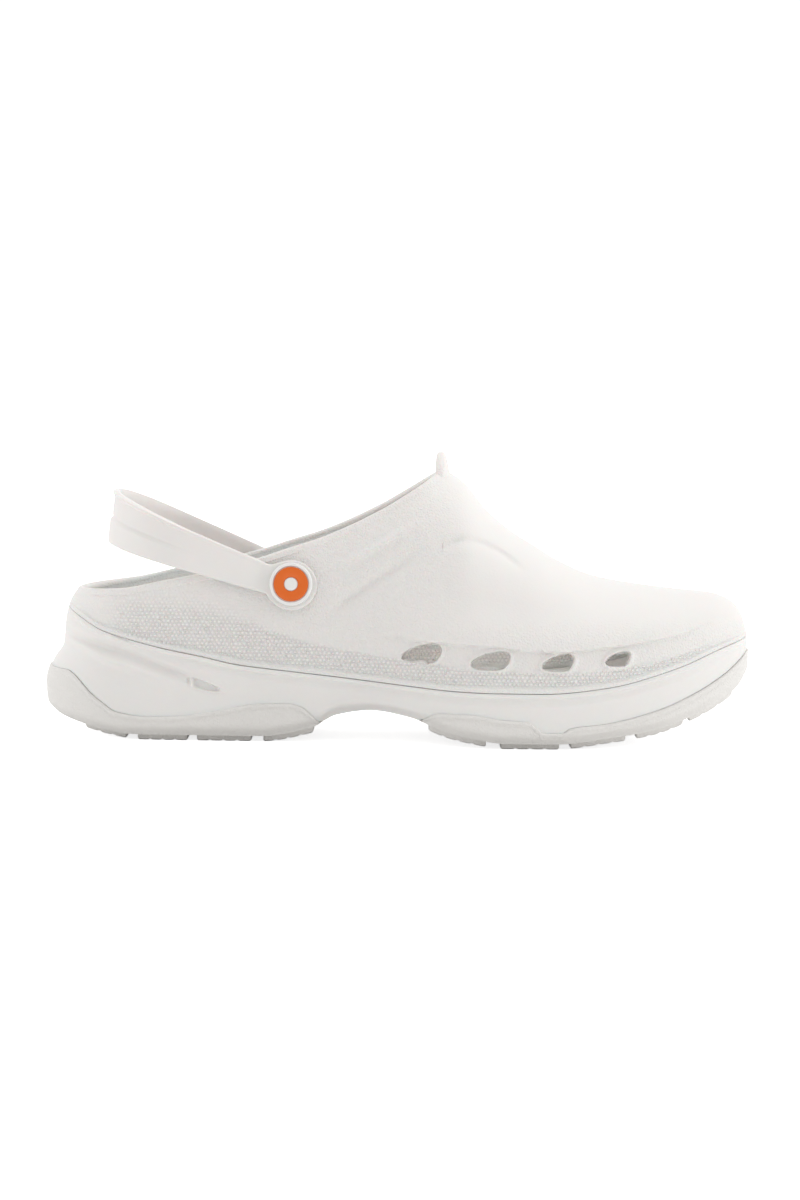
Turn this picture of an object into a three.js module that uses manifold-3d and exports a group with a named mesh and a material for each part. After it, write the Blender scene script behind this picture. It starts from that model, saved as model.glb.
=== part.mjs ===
// Chef clog, right shoe: a moulded upper on a moulded sole, two tread panels, a footbed and a heel strap
// that swings on two riveted buttons. Millimetres, +Z up, toe along +X, outer side towards -Y.
import * as THREE from "three";
import { mergeVertices } from "three/addons/utils/BufferGeometryUtils.js";
import Module from "manifold-3d";

const wasm = await Module();
wasm.setup();

// Driving sizes of the whole shoe
const shoeLength = 288;
const ballWidth = 107;
const heelWidth = 82;
const instepHeight = 110;
const heelHeight = 60.5;
const toeSpring = 28;
const archHeight = 12;
const weltHeight = 22.5;
const heelCupRise = 29;
const toeCupRise = 20.5;
const heelLean = 13;
const toeTurn = 9;

// Walls, seats and clearances
const upperWall = 3.5;
const soleLedge = 2.2;
const gap = 0.3;
const bedHeight = 18;
const heelBedRise = 8;
const toeBedRise = 14;
const insoleThickness = 4;
const panelProud = 0.8;
const panelThickness = 2.4;
const treadThickness = 3;
const lugHeight = 2.5;
const lugInset = 2;
const ridgeDepth = 1.6;
const ridgeHalfWidth = 3.2;
const footInset = 4.2;
const footRoundInset = 2.6;
const footRoundHeight = 2.2;
const footSlopeInset = 0.5;
const lipInset = 0.7;
const lipRoundInset = 0.1;
const bandProud = 0.8;
const vampOverhang = 0.9;

// Tab at the instep
const tabHeight = 8;
const tabThickness = 3.6;
const tabHalfWidth = 15;
const tabRoot = 2.4;
const tabStation = 0.563;
const tabSweep = 1.8;
const tabFall = 4.5;
const tabCrown = 2.6;
const tabRound = 1;
const tabTaper = 0.4;

// Heel strap and its rivets
const pivotX = 101;
const pivotZ = 63.6;
const strapThickness = 3;
const eyeRadius = 10;
const eyeSeat = 0.6;
const strapSideGap = 0.7;
const strapTurnX = 60;
const strapBackX = 26;
const strapBend = 2.2;
const strapLean = 2;
const strapDrop = 1;
const strapSideWidth = 10;
const strapBackWidth = 22;
const strapBackZ = 88.5;
const stemRadius = 4;
const buttonRadius = 8.65;
const buttonThickness = 2.6;
const innerHeadRadius = 7.5;
const innerHeadThickness = 2;
const innerHeadClearance = 1;
const ringRadius = 6.85;
const ringBore = 2.9;
const ringDepth = 1;
const ringSeat = 0.1;
const rimRound = 0.7;
const discSegments = 28;
const stemSegments = 16;

// Outline seen from above. x is a share of the length, the half-widths are shares of half the width
// there, and waist blends from the heel's width (0) to the ball's (1).
const outline = [
  { x: 0, lateral: 1, medial: 1, waist: 0 },
  { x: 0.16, lateral: 1, medial: 1, waist: 0 },
  { x: 0.3, lateral: 0.98, medial: 0.93, waist: 0 },
  { x: 0.42, lateral: 0.93, medial: 0.8, waist: 0.35 },
  { x: 0.52, lateral: 0.955, medial: 0.83, waist: 0.8 },
  { x: 0.62, lateral: 1.01, medial: 0.94, waist: 1 },
  { x: 0.72, lateral: 1.03, medial: 0.96, waist: 1 },
  { x: 0.82, lateral: 1.01, medial: 0.93, waist: 1 },
  { x: 0.92, lateral: 0.98, medial: 0.92, waist: 1 },
  { x: 1, lateral: 0.96, medial: 0.92, waist: 1 },
];
const heelRound = { length: 44, power: 2.25 };
const toeRound = { length: 84, power: 2.4 };

// Line of the vamp's crest, as shares of the instep height. Behind the instep it is the crest that the
// open quarter would have if it were closed.
const crestLine = [
  { x: 0, z: 0.8 },
  { x: 0.14, z: 0.87 },
  { x: 0.28, z: 0.95 },
  { x: 0.42, z: 1.02 },
  { x: 0.52, z: 1.035 },
  { x: 0.565, z: 0.99 },
  { x: 0.587, z: 0.955 },
  { x: 0.621, z: 0.852 },
  { x: 0.655, z: 0.775 },
  { x: 0.69, z: 0.718 },
  { x: 0.724, z: 0.664 },
  { x: 0.776, z: 0.606 },
  { x: 0.827, z: 0.58 },
  { x: 0.896, z: 0.558 },
  { x: 0.947, z: 0.546 },
  { x: 0.972, z: 0.525 },
  { x: 0.988, z: 0.486 },
  { x: 1, z: 0.4 },
];

// Collar rim seen from the side, from the heel height (0) to the instep height (1)
const rimLine = [
  { x: 0, rise: -0.03 },
  { x: 0.075, rise: 0 },
  { x: 0.14, rise: 0.065 },
  { x: 0.215, rise: 0.135 },
  { x: 0.3, rise: 0.255 },
  { x: 0.342, rise: 0.34 },
  { x: 0.392, rise: 0.44 },
  { x: 0.472, rise: 0.665 },
  { x: 0.515, rise: 0.82 },
  { x: 0.558, rise: 0.985 },
  { x: 0.6, rise: 1.15 },
];

// Seam between upper and sole, as shares of the cup's rise at heel and toe above the welt's lowest line
const weltLine = [
  { x: 0, heel: 1, toe: 0 },
  { x: 0.03, heel: 0.87, toe: 0 },
  { x: 0.065, heel: 0.72, toe: 0 },
  { x: 0.107, heel: 0.62, toe: 0 },
  { x: 0.163, heel: 0.5, toe: 0 },
  { x: 0.222, heel: 0.4, toe: 0 },
  { x: 0.278, heel: 0.29, toe: 0 },
  { x: 0.35, heel: 0.215, toe: 0 },
  { x: 0.422, heel: 0.15, toe: 0 },
  { x: 0.5, heel: 0.08, toe: 0 },
  { x: 0.58, heel: 0.015, toe: 0 },
  { x: 0.64, heel: 0, toe: 0 },
  { x: 0.7, heel: 0, toe: 0 },
  { x: 0.788, heel: 0, toe: 0.11 },
  { x: 0.887, heel: 0, toe: 0.46 },
  { x: 0.958, heel: 0, toe: 0.83 },
  { x: 1, heel: 0, toe: 1 },
];

// Underside of the lugs: shares of the arch height and of the toe spring
const keelLine = [
  { x: 0, arch: 0.85, toe: 0 },
  { x: 0.02, arch: 0.47, toe: 0 },
  { x: 0.045, arch: 0.28, toe: 0 },
  { x: 0.07, arch: 0.14, toe: 0 },
  { x: 0.115, arch: 0, toe: 0 },
  { x: 0.31, arch: 0, toe: 0 },
  { x: 0.38, arch: 0.31, toe: 0 },
  { x: 0.415, arch: 0.77, toe: 0 },
  { x: 0.466, arch: 0.97, toe: 0 },
  { x: 0.515, arch: 0.8, toe: 0 },
  { x: 0.57, arch: 0.32, toe: 0 },
  { x: 0.603, arch: 0.15, toe: 0 },
  { x: 0.65, arch: 0, toe: 0 },
  { x: 0.72, arch: 0, toe: 0 },
  { x: 0.792, arch: 0, toe: 0.08 },
  { x: 0.86, arch: 0, toe: 0.19 },
  { x: 0.913, arch: 0, toe: 0.37 },
  { x: 0.947, arch: 0, toe: 0.53 },
  { x: 0.98, arch: 0, toe: 0.74 },
  { x: 1, arch: 0, toe: 1 },
];

// Line along the sole's side, as a share of the height between keel and welt: the heel's trough, then
// the middle of the side. depth is a share of the ridge depth.
const troughLine = [
  { x: 0, height: 0.64, depth: 0.7 },
  { x: 0.08, height: 0.78, depth: 1 },
  { x: 0.136, height: 0.8, depth: 0.95 },
  { x: 0.2, height: 0.74, depth: 0.8 },
  { x: 0.25, height: 0.68, depth: 0.5 },
  { x: 0.29, height: 0.62, depth: 0 },
  { x: 1, height: 0.6, depth: 0 },
];

// Lean of the heel's back by height above the floor, as a share of the heel's lean forward at the rim
const heelBack = [
  { z: 0, lean: 0.7 },
  { z: 0.075, lean: 0.38 },
  { z: 0.21, lean: 0.06 },
  { z: 0.35, lean: 0.02 },
  { z: 0.48, lean: 0.17 },
  { z: 0.6, lean: 0.5 },
  { z: 0.76, lean: 0.56 },
  { z: 0.88, lean: 0.68 },
  { z: 1, lean: 1 },
  { z: 1.6, lean: 1.9 },
];
const leanReach = 90;

// Upper edge of each tread panel on the sole's side, as shares of the arch height above the keel
const heelPanelEdge = [
  { x: -0.02, z: 1.5 },
  { x: 0.03, z: 1.5 },
  { x: 0.055, z: 1.25 },
  { x: 0.087, z: 1.0 },
  { x: 0.107, z: 0.93 },
  { x: 0.15, z: 0.85 },
  { x: 0.193, z: 0.88 },
  { x: 0.25, z: 1.08 },
  { x: 0.308, z: 1.32 },
  { x: 0.35, z: 1.3 },
  { x: 0.376, z: 0.9 },
  { x: 0.398, z: 0.42 },
];
const forefootPanelEdge = [
  { x: 0.53, z: 0.16 },
  { x: 0.558, z: 0.83 },
  { x: 0.6, z: 1.08 },
  { x: 0.644, z: 1.04 },
  { x: 0.687, z: 0.97 },
  { x: 0.701, z: 0.6 },
  { x: 0.73, z: 0.6 },
  { x: 0.744, z: 0.78 },
  { x: 0.791, z: 0.76 },
  { x: 0.863, z: 0.9 },
  { x: 0.93, z: 0.93 },
  { x: 0.975, z: 0.95 },
  { x: 1.02, z: 0.95 },
];

// Lugs, front to back limits as shares of the length
const heelLugs = [
  { from: 0.04, to: 0.1 },
  { from: 0.116, to: 0.198 },
  { from: 0.213, to: 0.296 },
  { from: 0.313, to: 0.383 },
];
const forefootLugs = [
  { from: 0.544, to: 0.624 },
  { from: 0.644, to: 0.725 },
  { from: 0.741, to: 0.818 },
  { from: 0.834, to: 0.901 },
  { from: 0.91, to: 0.975 },
];

// Vents in the outer side: ends as shares of the length, low and high edge above the welt line as
// shares of the vent row's height
const ventRow = 20;
const vents = [
  { from: 0.502, to: 0.562, low: 0.47, high: 0.9 },
  { from: 0.598, to: 0.658, low: 0.47, high: 0.9 },
  { from: 0.697, to: 0.746, low: 0.46, high: 0.85 },
  { from: 0.785, to: 0.825, low: 0.42, high: 0.78 },
];
// A vent's outline in its own box: a low pointed rear end and a full round front end
const ventOutline = [
  { u: 0, v: 0.22 },
  { u: 0.1, v: 0.45 },
  { u: 0.35, v: 0.8 },
  { u: 0.66, v: 0.98 },
  { u: 0.88, v: 1 },
  { u: 0.99, v: 0.82 },
  { u: 0.97, v: 0.45 },
  { u: 0.84, v: 0.1 },
  { u: 0.7, v: 0 },
  { u: 0.3, v: 0.03 },
  { u: 0.06, v: 0.1 },
];

// Smooth curve through a table's column, with no overshoot between its rows
function curve(rows, key, by = "x") {
  const at = rows.map((row) => row[by]);
  const value = rows.map((row) => row[key]);
  const slope = at.slice(1).map((a, i) => (value[i + 1] - value[i]) / (a - at[i]));
  const tangent = value.map((_, i) => {
    if (i === 0 || i === value.length - 1) return slope[Math.min(i, slope.length - 1)];
    const before = slope[i - 1];
    const after = slope[i];
    return before * after <= 0 ? 0 : (2 * before * after) / (before + after);
  });
  return (x) => {
    if (x <= at[0]) return value[0];
    if (x >= at[at.length - 1]) return value[value.length - 1];
    const i = at.findIndex((a) => a > x) - 1;
    const span = at[i + 1] - at[i];
    const t = (x - at[i]) / span;
    const s = 1 - t;
    const ends = value[i] * (1 + 2 * t) * s * s + value[i + 1] * (3 - 2 * t) * t * t;
    return ends + span * t * s * (tangent[i] * s - tangent[i + 1] * t);
  };
}

const lateralShare = curve(outline, "lateral");
const medialShare = curve(outline, "medial");
const waistShare = curve(outline, "waist");
const crestShare = curve(crestLine, "z");
const rimShare = curve(rimLine, "rise");
const weltHeel = curve(weltLine, "heel");
const weltToe = curve(weltLine, "toe");
const keelArch = curve(keelLine, "arch");
const keelToe = curve(keelLine, "toe");
const troughShare = curve(troughLine, "height");
const troughDepth = curve(troughLine, "depth");
const leanShare = curve(heelBack, "lean", "z");

const smooth = (t) => {
  const c = Math.min(Math.max(t, 0), 1);
  return c * c * (3 - 2 * c);
};
const crest = (x) => instepHeight * crestShare(x / shoeLength);
const rim = (x) => heelHeight + (instepHeight - heelHeight) * rimShare(x / shoeLength);
const welt = (x) =>
  weltHeight + heelCupRise * weltHeel(x / shoeLength) + toeCupRise * weltToe(x / shoeLength);
const keel = (x) => archHeight * keelArch(x / shoeLength) + toeSpring * keelToe(x / shoeLength);
const bed = (x) => {
  const heelPart = 1 - smooth((x / shoeLength - 0.35) / 0.25);
  const toePart = smooth((x / shoeLength - 0.72) / 0.28);
  return bedHeight + heelBedRise * heelPart + toeBedRise * toePart;
};
const centreLine = (x) => toeTurn * smooth((x / shoeLength - 0.55) / 0.45);
const lean = (x, z) => {
  const fade = 1 - smooth(x / leanReach);
  return heelLean * leanShare(z / heelHeight) * fade;
};

// Half-width of the sole's outline on one side (-1 outer, +1 inner) at station x
function halfWidth(x, side) {
  const u = x / shoeLength;
  const width = heelWidth + (ballWidth - heelWidth) * waistShare(u);
  const share = side < 0 ? lateralShare(u) : medialShare(u);
  const fromHeel = Math.min(x / heelRound.length, 1);
  const fromToe = Math.min((shoeLength - x) / toeRound.length, 1);
  const heelEnd = Math.pow(Math.max(1 - Math.pow(1 - fromHeel, heelRound.power), 0), 1 / heelRound.power);
  const toeEnd = Math.pow(Math.max(1 - Math.pow(1 - fromToe, toeRound.power), 0), 1 / toeRound.power);
  return (width / 2) * share * heelEnd * toeEnd;
}

// Stations between two ends, closer together near both ends and near the throat
function stations(from, to, count) {
  return Array.from({ length: count + 1 }, (_, i) => {
    const t = i / count;
    return from + (to - from) * (0.6 * t + 0.4 * (1 - Math.cos(Math.PI * t)) / 2 - bow(t));
  });
}
const upperStations = 40;
const soleStations = 38;
const archRows = 8;
const bow = (t) => 0.035 * (1 - Math.cos(2 * Math.PI * t)) * (1 - 2 * t);

// Closed solid through rings of points, each ring running round its section the same way
function loft(rings) {
  const points = [];
  const faces = [];
  const n = rings[0].length;
  for (const ring of rings) for (const p of ring) points.push(p[0], p[1], p[2]);
  for (let i = 0; i + 1 < rings.length; i++) {
    for (let j = 0; j < n; j++) {
      const a = i * n + j;
      const b = i * n + ((j + 1) % n);
      faces.push(a, b, a + n, b, b + n, a + n);
    }
  }
  for (const [start, turned] of [[0, true], [(rings.length - 1) * n, false]]) {
    for (let j = 0; j < n - 2 - j; j++) {
      const [a, b, c, d] = [start + j, start + j + 1, start + n - 2 - j, start + n - 1 - j];
      faces.push(...(turned ? [a, d, b] : [a, b, d]));
      if (b !== c) faces.push(...(turned ? [b, d, c] : [b, c, d]));
    }
  }
  const geometry = new THREE.BufferGeometry();
  geometry.setAttribute("position", new THREE.Float32BufferAttribute(points, 3));
  geometry.setIndex(faces);
  return geometry;
}

// Solid for joining and cutting, from a closed three.js geometry
function solid(geometry) {
  const bare = geometry.clone();
  bare.deleteAttribute("normal");
  bare.deleteAttribute("uv");
  const merged = mergeVertices(bare, 1e-4);
  const corners = [];
  const index = merged.index.array;
  for (let i = 0; i < index.length; i += 3) {
    const [a, b, c] = [index[i], index[i + 1], index[i + 2]];
    if (a !== b && b !== c && c !== a) corners.push(a, b, c);
  }
  const vertProperties = new Float32Array(merged.attributes.position.array);
  let made = new wasm.Manifold(new wasm.Mesh({ numProp: 3, vertProperties, triVerts: new Uint32Array(corners) }));
  if (made.volume() < 0) {
    for (let i = 0; i < corners.length; i += 3) [corners[i + 1], corners[i + 2]] = [corners[i + 2], corners[i + 1]];
    made = new wasm.Manifold(new wasm.Mesh({ numProp: 3, vertProperties, triVerts: new Uint32Array(corners) }));
  }
  return made;
}

// Side profile in x and z, extruded across the shoe between two values of y
function sidePrism(points, fromY, toY) {
  const shape = new THREE.Shape(points.map(([x, z]) => new THREE.Vector2(x, z)));
  const geometry = new THREE.ExtrudeGeometry(shape, { depth: toY - fromY, bevelEnabled: false });
  const across = new THREE.Matrix4().makeBasis(
    new THREE.Vector3(1, 0, 0),
    new THREE.Vector3(0, 0, 1),
    new THREE.Vector3(0, -1, 0),
  );
  geometry.applyMatrix4(across);
  geometry.translate(0, toY, 0);
  return solid(geometry);
}

// Point on the outside of the upper: station x, side, height share q from the welt (0) to the crest (1)
const archPower = curve(
  [
    { x: 0, power: 2.9 },
    { x: 0.35, power: 2.6 },
    { x: 0.55, power: 2.15 },
    { x: 0.7, power: 2.3 },
    { x: 0.85, power: 2.5 },
    { x: 1, power: 2.5 },
  ],
  "power",
);
const bandTop = (x) => welt(x) + 2 + 8.5 * (1 + smooth((0.3 - x / shoeLength) / 0.3));
const overhangZ = (x) => welt(x) + ventRow * 0.95;
function upperWidth(x, z, side) {
  const low = welt(x);
  const high = crest(x);
  const q = Math.min(Math.max((z - low) / (high - low), 0), 1);
  const power = archPower(x / shoeLength);
  const arch = Math.pow(Math.max(1 - Math.pow(q, power), 0), 1 / power);
  return Math.max(halfWidth(x, side) - soleLedge, 0) * arch;
}
function upperRelief(x, z) {
  const band = bandProud * smooth((bandTop(x) - z) / 0.8 + 0.5);
  const fore = smooth((x / shoeLength - 0.45) / 0.1) * (1 - smooth((x / shoeLength - 0.9) / 0.06));
  const above = z - overhangZ(x);
  const overhang = vampOverhang * fore * smooth(above / 1.6 + 0.5) * (1 - smooth((above - 1) / 14));
  return band + overhang;
}
function upperPoint(x, z, side, inset) {
  const base = upperWidth(x, z, side);
  const relief = inset ? 0 : upperRelief(x, z) * Math.min(base / 12, 1);
  const y = centreLine(x) + side * Math.max(base + relief - inset, 0);
  return [x + lean(x, z), y, z];
}

// Heights of the rows of an upper section, from the welt line to the crest
function upperHeights(x) {
  const low = welt(x);
  const high = crest(x);
  const power = archPower(x / shoeLength);
  const named = [low, bandTop(x) - 0.5, bandTop(x) + 0.5, overhangZ(x) - 0.9, overhangZ(x) + 0.9];
  const last = Math.min(Math.max((named[4] - low) / (high - low), 0.05), 0.6);
  const room = high - low;
  const rows = named.map((z, i) => Math.min(z, low + room * last * (i + 1) * 0.2));
  rows[0] = low;
  const startAngle = Math.asin(Math.pow((rows[4] - low) / room, power / 2));
  for (let i = 1; i <= archRows; i++) {
    const angle = startAngle + ((Math.PI / 2 - startAngle) * i) / archRows;
    rows.push(low + room * Math.pow(Math.sin(angle), 2 / power));
  }
  return rows;
}

function upperOuter() {
  const rings = stations(0, shoeLength, upperStations).map((x) => {
    const rows = upperHeights(x);
    const lateral = rows.map((z) => upperPoint(x, z, -1, 0));
    const medial = rows.slice(0, -1).map((z) => upperPoint(x, z, 1, 0));
    return [...lateral, ...medial.reverse()];
  });
  return solid(loft(rings));
}

// Hollow for the foot: the wall's inner face, down to the seat of the footbed
const cavityStations = 34;
const cavityHeel = upperWall + 1;
const cavityToe = shoeLength - upperWall - 2;
const stretch = (x) => ((x - cavityHeel) * shoeLength) / (cavityToe - cavityHeel);
function cavityWidth(x, q, side, inset) {
  const at = stretch(x);
  const power = archPower(at / shoeLength);
  const arch = Math.pow(Math.max(1 - Math.pow(q, power), 0), 1 / power);
  const near = Math.max(halfWidth(at, side) - soleLedge - inset, 0);
  return Math.min(near, halfWidth(at, side) * 0.93) * arch;
}
const bedSeat = (x) => bed(x) - insoleThickness - gap;
function footCavity() {
  const rings = stations(cavityHeel, cavityToe, cavityStations).map((x) => {
    const low = welt(x);
    const high = Math.max(crest(stretch(x)) - upperWall, low + 4);
    const power = archPower(stretch(x) / shoeLength);
    const shares = Array.from({ length: archRows + 1 }, (_, i) =>
      Math.pow(Math.sin((Math.PI / 2) * (i / archRows)), 2 / power),
    );
    const point = (z, q, side) => [
      x + lean(x, z),
      centreLine(x) + side * cavityWidth(x, q, side, upperWall),
      z,
    ];
    const wall = (side) => [
      point(bedSeat(x), 0, side),
      point(bed(x), 0, side),
      point((bed(x) + low) / 2, 0, side),
      ...shares.map((q) => point(low + (high - low) * q, q, side)),
    ];
    return [...wall(-1), ...wall(1).slice(0, -1).reverse()];
  });
  return solid(loft(rings));
}

function collarCut() {
  const top = instepHeight * 1.6;
  const points = [];
  for (let i = 0; i <= 24; i++) {
    const x = -10 + (shoeLength * 0.6 + 10) * (i / 24);
    points.push([x, rim(x)]);
  }
  points.push([shoeLength * 0.6, top], [-10, top]);
  return sidePrism(points, -ballWidth, ballWidth);
}

function ventCuts() {
  return vents.map((vent) => {
    const from = vent.from * shoeLength;
    const to = vent.to * shoeLength;
    const points = ventOutline.map(({ u, v }) => {
      const x = from + (to - from) * u;
      return [x, welt(x) + ventRow * (vent.low + (vent.high - vent.low) * v)];
    });
    return sidePrism(points, -ballWidth, -ballWidth * 0.15);
  });
}

// Raised tab at the front of the collar, following the rim's curve across the instep
function instepTab(x) {
  const rings = [];
  const count = 14;
  for (let i = 0; i <= count; i++) {
    const v = -1 + (2 * i) / count;
    const y = v * tabHalfWidth;
    const back = tabSweep * v * v;
    const drop = tabFall * v * v;
    const rise = tabHeight * Math.sqrt(Math.max(1 - Math.pow(Math.abs(v), tabCrown), 0));
    const foot = crest(x) - tabRoot - drop;
    const head = crest(x) - drop + rise - tabRound;
    const rear = x - tabThickness / 2 - back;
    const front = x + tabThickness / 2 - back;
    rings.push([
      [rear, y, foot],
      [front, y, foot],
      [front - tabTaper, y, head - tabRound],
      [front - tabTaper - tabRound, y, head],
      [rear - tabTaper + tabRound, y, head],
      [rear - tabTaper, y, head - tabRound],
    ]);
  }
  return solid(loft(rings));
}

// Sole: rows of its side from the tread up to the welt line. grow moves the side out, lift moves the
// underside up and shift moves the ends out.
function soleSection(x, { grow, lift, shift }) {
  const low = Math.min(keel(x) + lugHeight, welt(x) - 6) + lift;
  const high = welt(x) - gap;
  const middle = low + (high - low) * troughShare(x / shoeLength);
  const half = Math.min(ridgeHalfWidth, (high - low) * 0.16);
  const edge = Math.min(footRoundHeight, (high - low) * 0.12);
  const rows = [
    { z: low, inset: footInset },
    { z: low + edge, inset: footRoundInset },
    { z: low + (middle - half - low) * 0.55, inset: footSlopeInset },
    { z: middle - half, inset: 0 },
    { z: middle, inset: ridgeDepth * troughDepth(x / shoeLength) },
    { z: middle + half, inset: 0 },
    { z: high - edge * 0.6, inset: lipRoundInset },
    { z: high, inset: lipInset },
  ];
  const point = ({ z, inset }, side) => {
    const width = halfWidth(x, side);
    const taper = Math.min(width / 18, 1);
    const along = x + lean(x, z) + shift * ((2 * x) / shoeLength - 1);
    return [along, centreLine(x) + side * Math.max(width - inset * taper + grow, 0), z];
  };
  const lateral = rows.map((row) => point(row, -1));
  const medial = rows.map((row) => point(row, 1));
  return [...lateral, ...medial.reverse()];
}
const soleLoft = (offsets, margin = 0) => {
  const rings = stations(margin, shoeLength - margin, soleStations).map((x) => soleSection(x, offsets));
  return solid(loft(rings));
};

// Zone of a tread panel seen from the side, grown all round for its neighbour's clearance
function panelZone(rows, grow) {
  const points = rows.map(({ x, z }) => {
    const at = Math.min(Math.max(x, 0), 1) * shoeLength;
    return [x * shoeLength, keel(at) + archHeight * z + lugHeight + grow];
  });
  points[0][0] -= grow;
  points[points.length - 1][0] += grow;
  const last = points[points.length - 1];
  points.push([last[0], -toeSpring], [points[0][0], -toeSpring]);
  return sidePrism(points, -ballWidth, ballWidth);
}

// Lugs under a tread panel, set in from its edge
function lugBlocks(rows) {
  const under = stations(shoeLength * 0.03, shoeLength * 0.985, 40).map((x) => {
    const low = keel(x);
    const section = (side) => {
      const width = Math.max(halfWidth(x, side) - footInset - lugInset, 1);
      return [
        [x + lean(x, low), centreLine(x) + side * width, low],
        [x + lean(x, low), centreLine(x) + side * width, low + lugHeight + treadThickness * 0.5],
      ];
    };
    return [...section(-1), ...section(1).reverse()];
  });
  const pad = solid(loft(under));
  const bars = rows.map(({ from, to }) => {
    const box = [
      [from * shoeLength, -toeSpring],
      [to * shoeLength, -toeSpring],
      [to * shoeLength, weltHeight * 2],
      [from * shoeLength, weltHeight * 2],
    ];
    return pad.intersect(sidePrism(box, -ballWidth, ballWidth));
  });
  return bars.reduce((a, b) => a.add(b));
}

const cavity = footCavity();
const proudSole = soleLoft({ grow: panelProud, lift: 0, shift: panelProud });
const bareSole = soleLoft({ grow: 0, lift: 0, shift: 0 });
const heelPanelZone = panelZone(heelPanelEdge, 0);
const forefootPanelZone = panelZone(forefootPanelEdge, 0);

// Core of the sole that the panels wrap, set in by the panel's thickness and a clearance
const soleCore = (clearance) => {
  const grow = -panelThickness - clearance;
  return soleLoft({ grow, lift: treadThickness + clearance, shift: -clearance }, panelThickness + gap);
};

function midsole() {
  const core = soleCore(gap);
  const zones = panelZone(heelPanelEdge, gap).add(panelZone(forefootPanelEdge, gap));
  return bareSole.subtract(zones.subtract(core)).subtract(cavity);
}
function treadPanel(zone, lugs) {
  return proudSole.intersect(zone).subtract(soleCore(0)).add(lugBlocks(lugs).subtract(soleCore(0)));
}

function insole() {
  const endGap = gap * 3;
  const rings = stations(cavityHeel, cavityToe, cavityStations).map((x) => {
    const low = bedSeat(x) + gap;
    const high = bed(x);
    const edge = (side, z) => [
      x + lean(x, z) + endGap * (1 - (2 * x) / shoeLength),
      centreLine(x) + side * Math.max(cavityWidth(x, 0, side, upperWall) - gap * 2, gap),
      z,
    ];
    return [edge(-1, low), edge(-1, high), edge(1, high), edge(1, low)];
  });
  return solid(loft(rings));
}

// Place on the upper's outer face at x and z, with the wall's outward direction there
function wallSeat(x, z, side) {
  const station = x - lean(x, z);
  const at = (u, w) => new THREE.Vector3(...upperPoint(u, w, side, 0));
  const alongX = at(station + 1, z).sub(at(station - 1, z));
  const alongZ = at(station, z + 1).sub(at(station, z - 1));
  const out = new THREE.Vector3().crossVectors(alongX, alongZ).normalize();
  if (out.y * side < 0) out.negate();
  return { place: at(station, z), out };
}
const pivot = (side) => wallSeat(pivotX, pivotZ, side);

// Round piece turned about a rivet's axis, from a profile of radius and distance out from the wall
function turned(profile, { place, out }, segments) {
  const geometry = new THREE.LatheGeometry(profile.map(([r, d]) => new THREE.Vector2(r, d)), segments);
  const turn = new THREE.Quaternion().setFromUnitVectors(new THREE.Vector3(0, 1, 0), out);
  geometry.applyQuaternion(turn);
  geometry.translate(place.x, place.y, place.z);
  return solid(geometry);
}
const rod = (radius, from, to, seat, segments) =>
  turned([[0, from], [radius, from], [radius, to], [0, to]], seat, segments);

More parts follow.
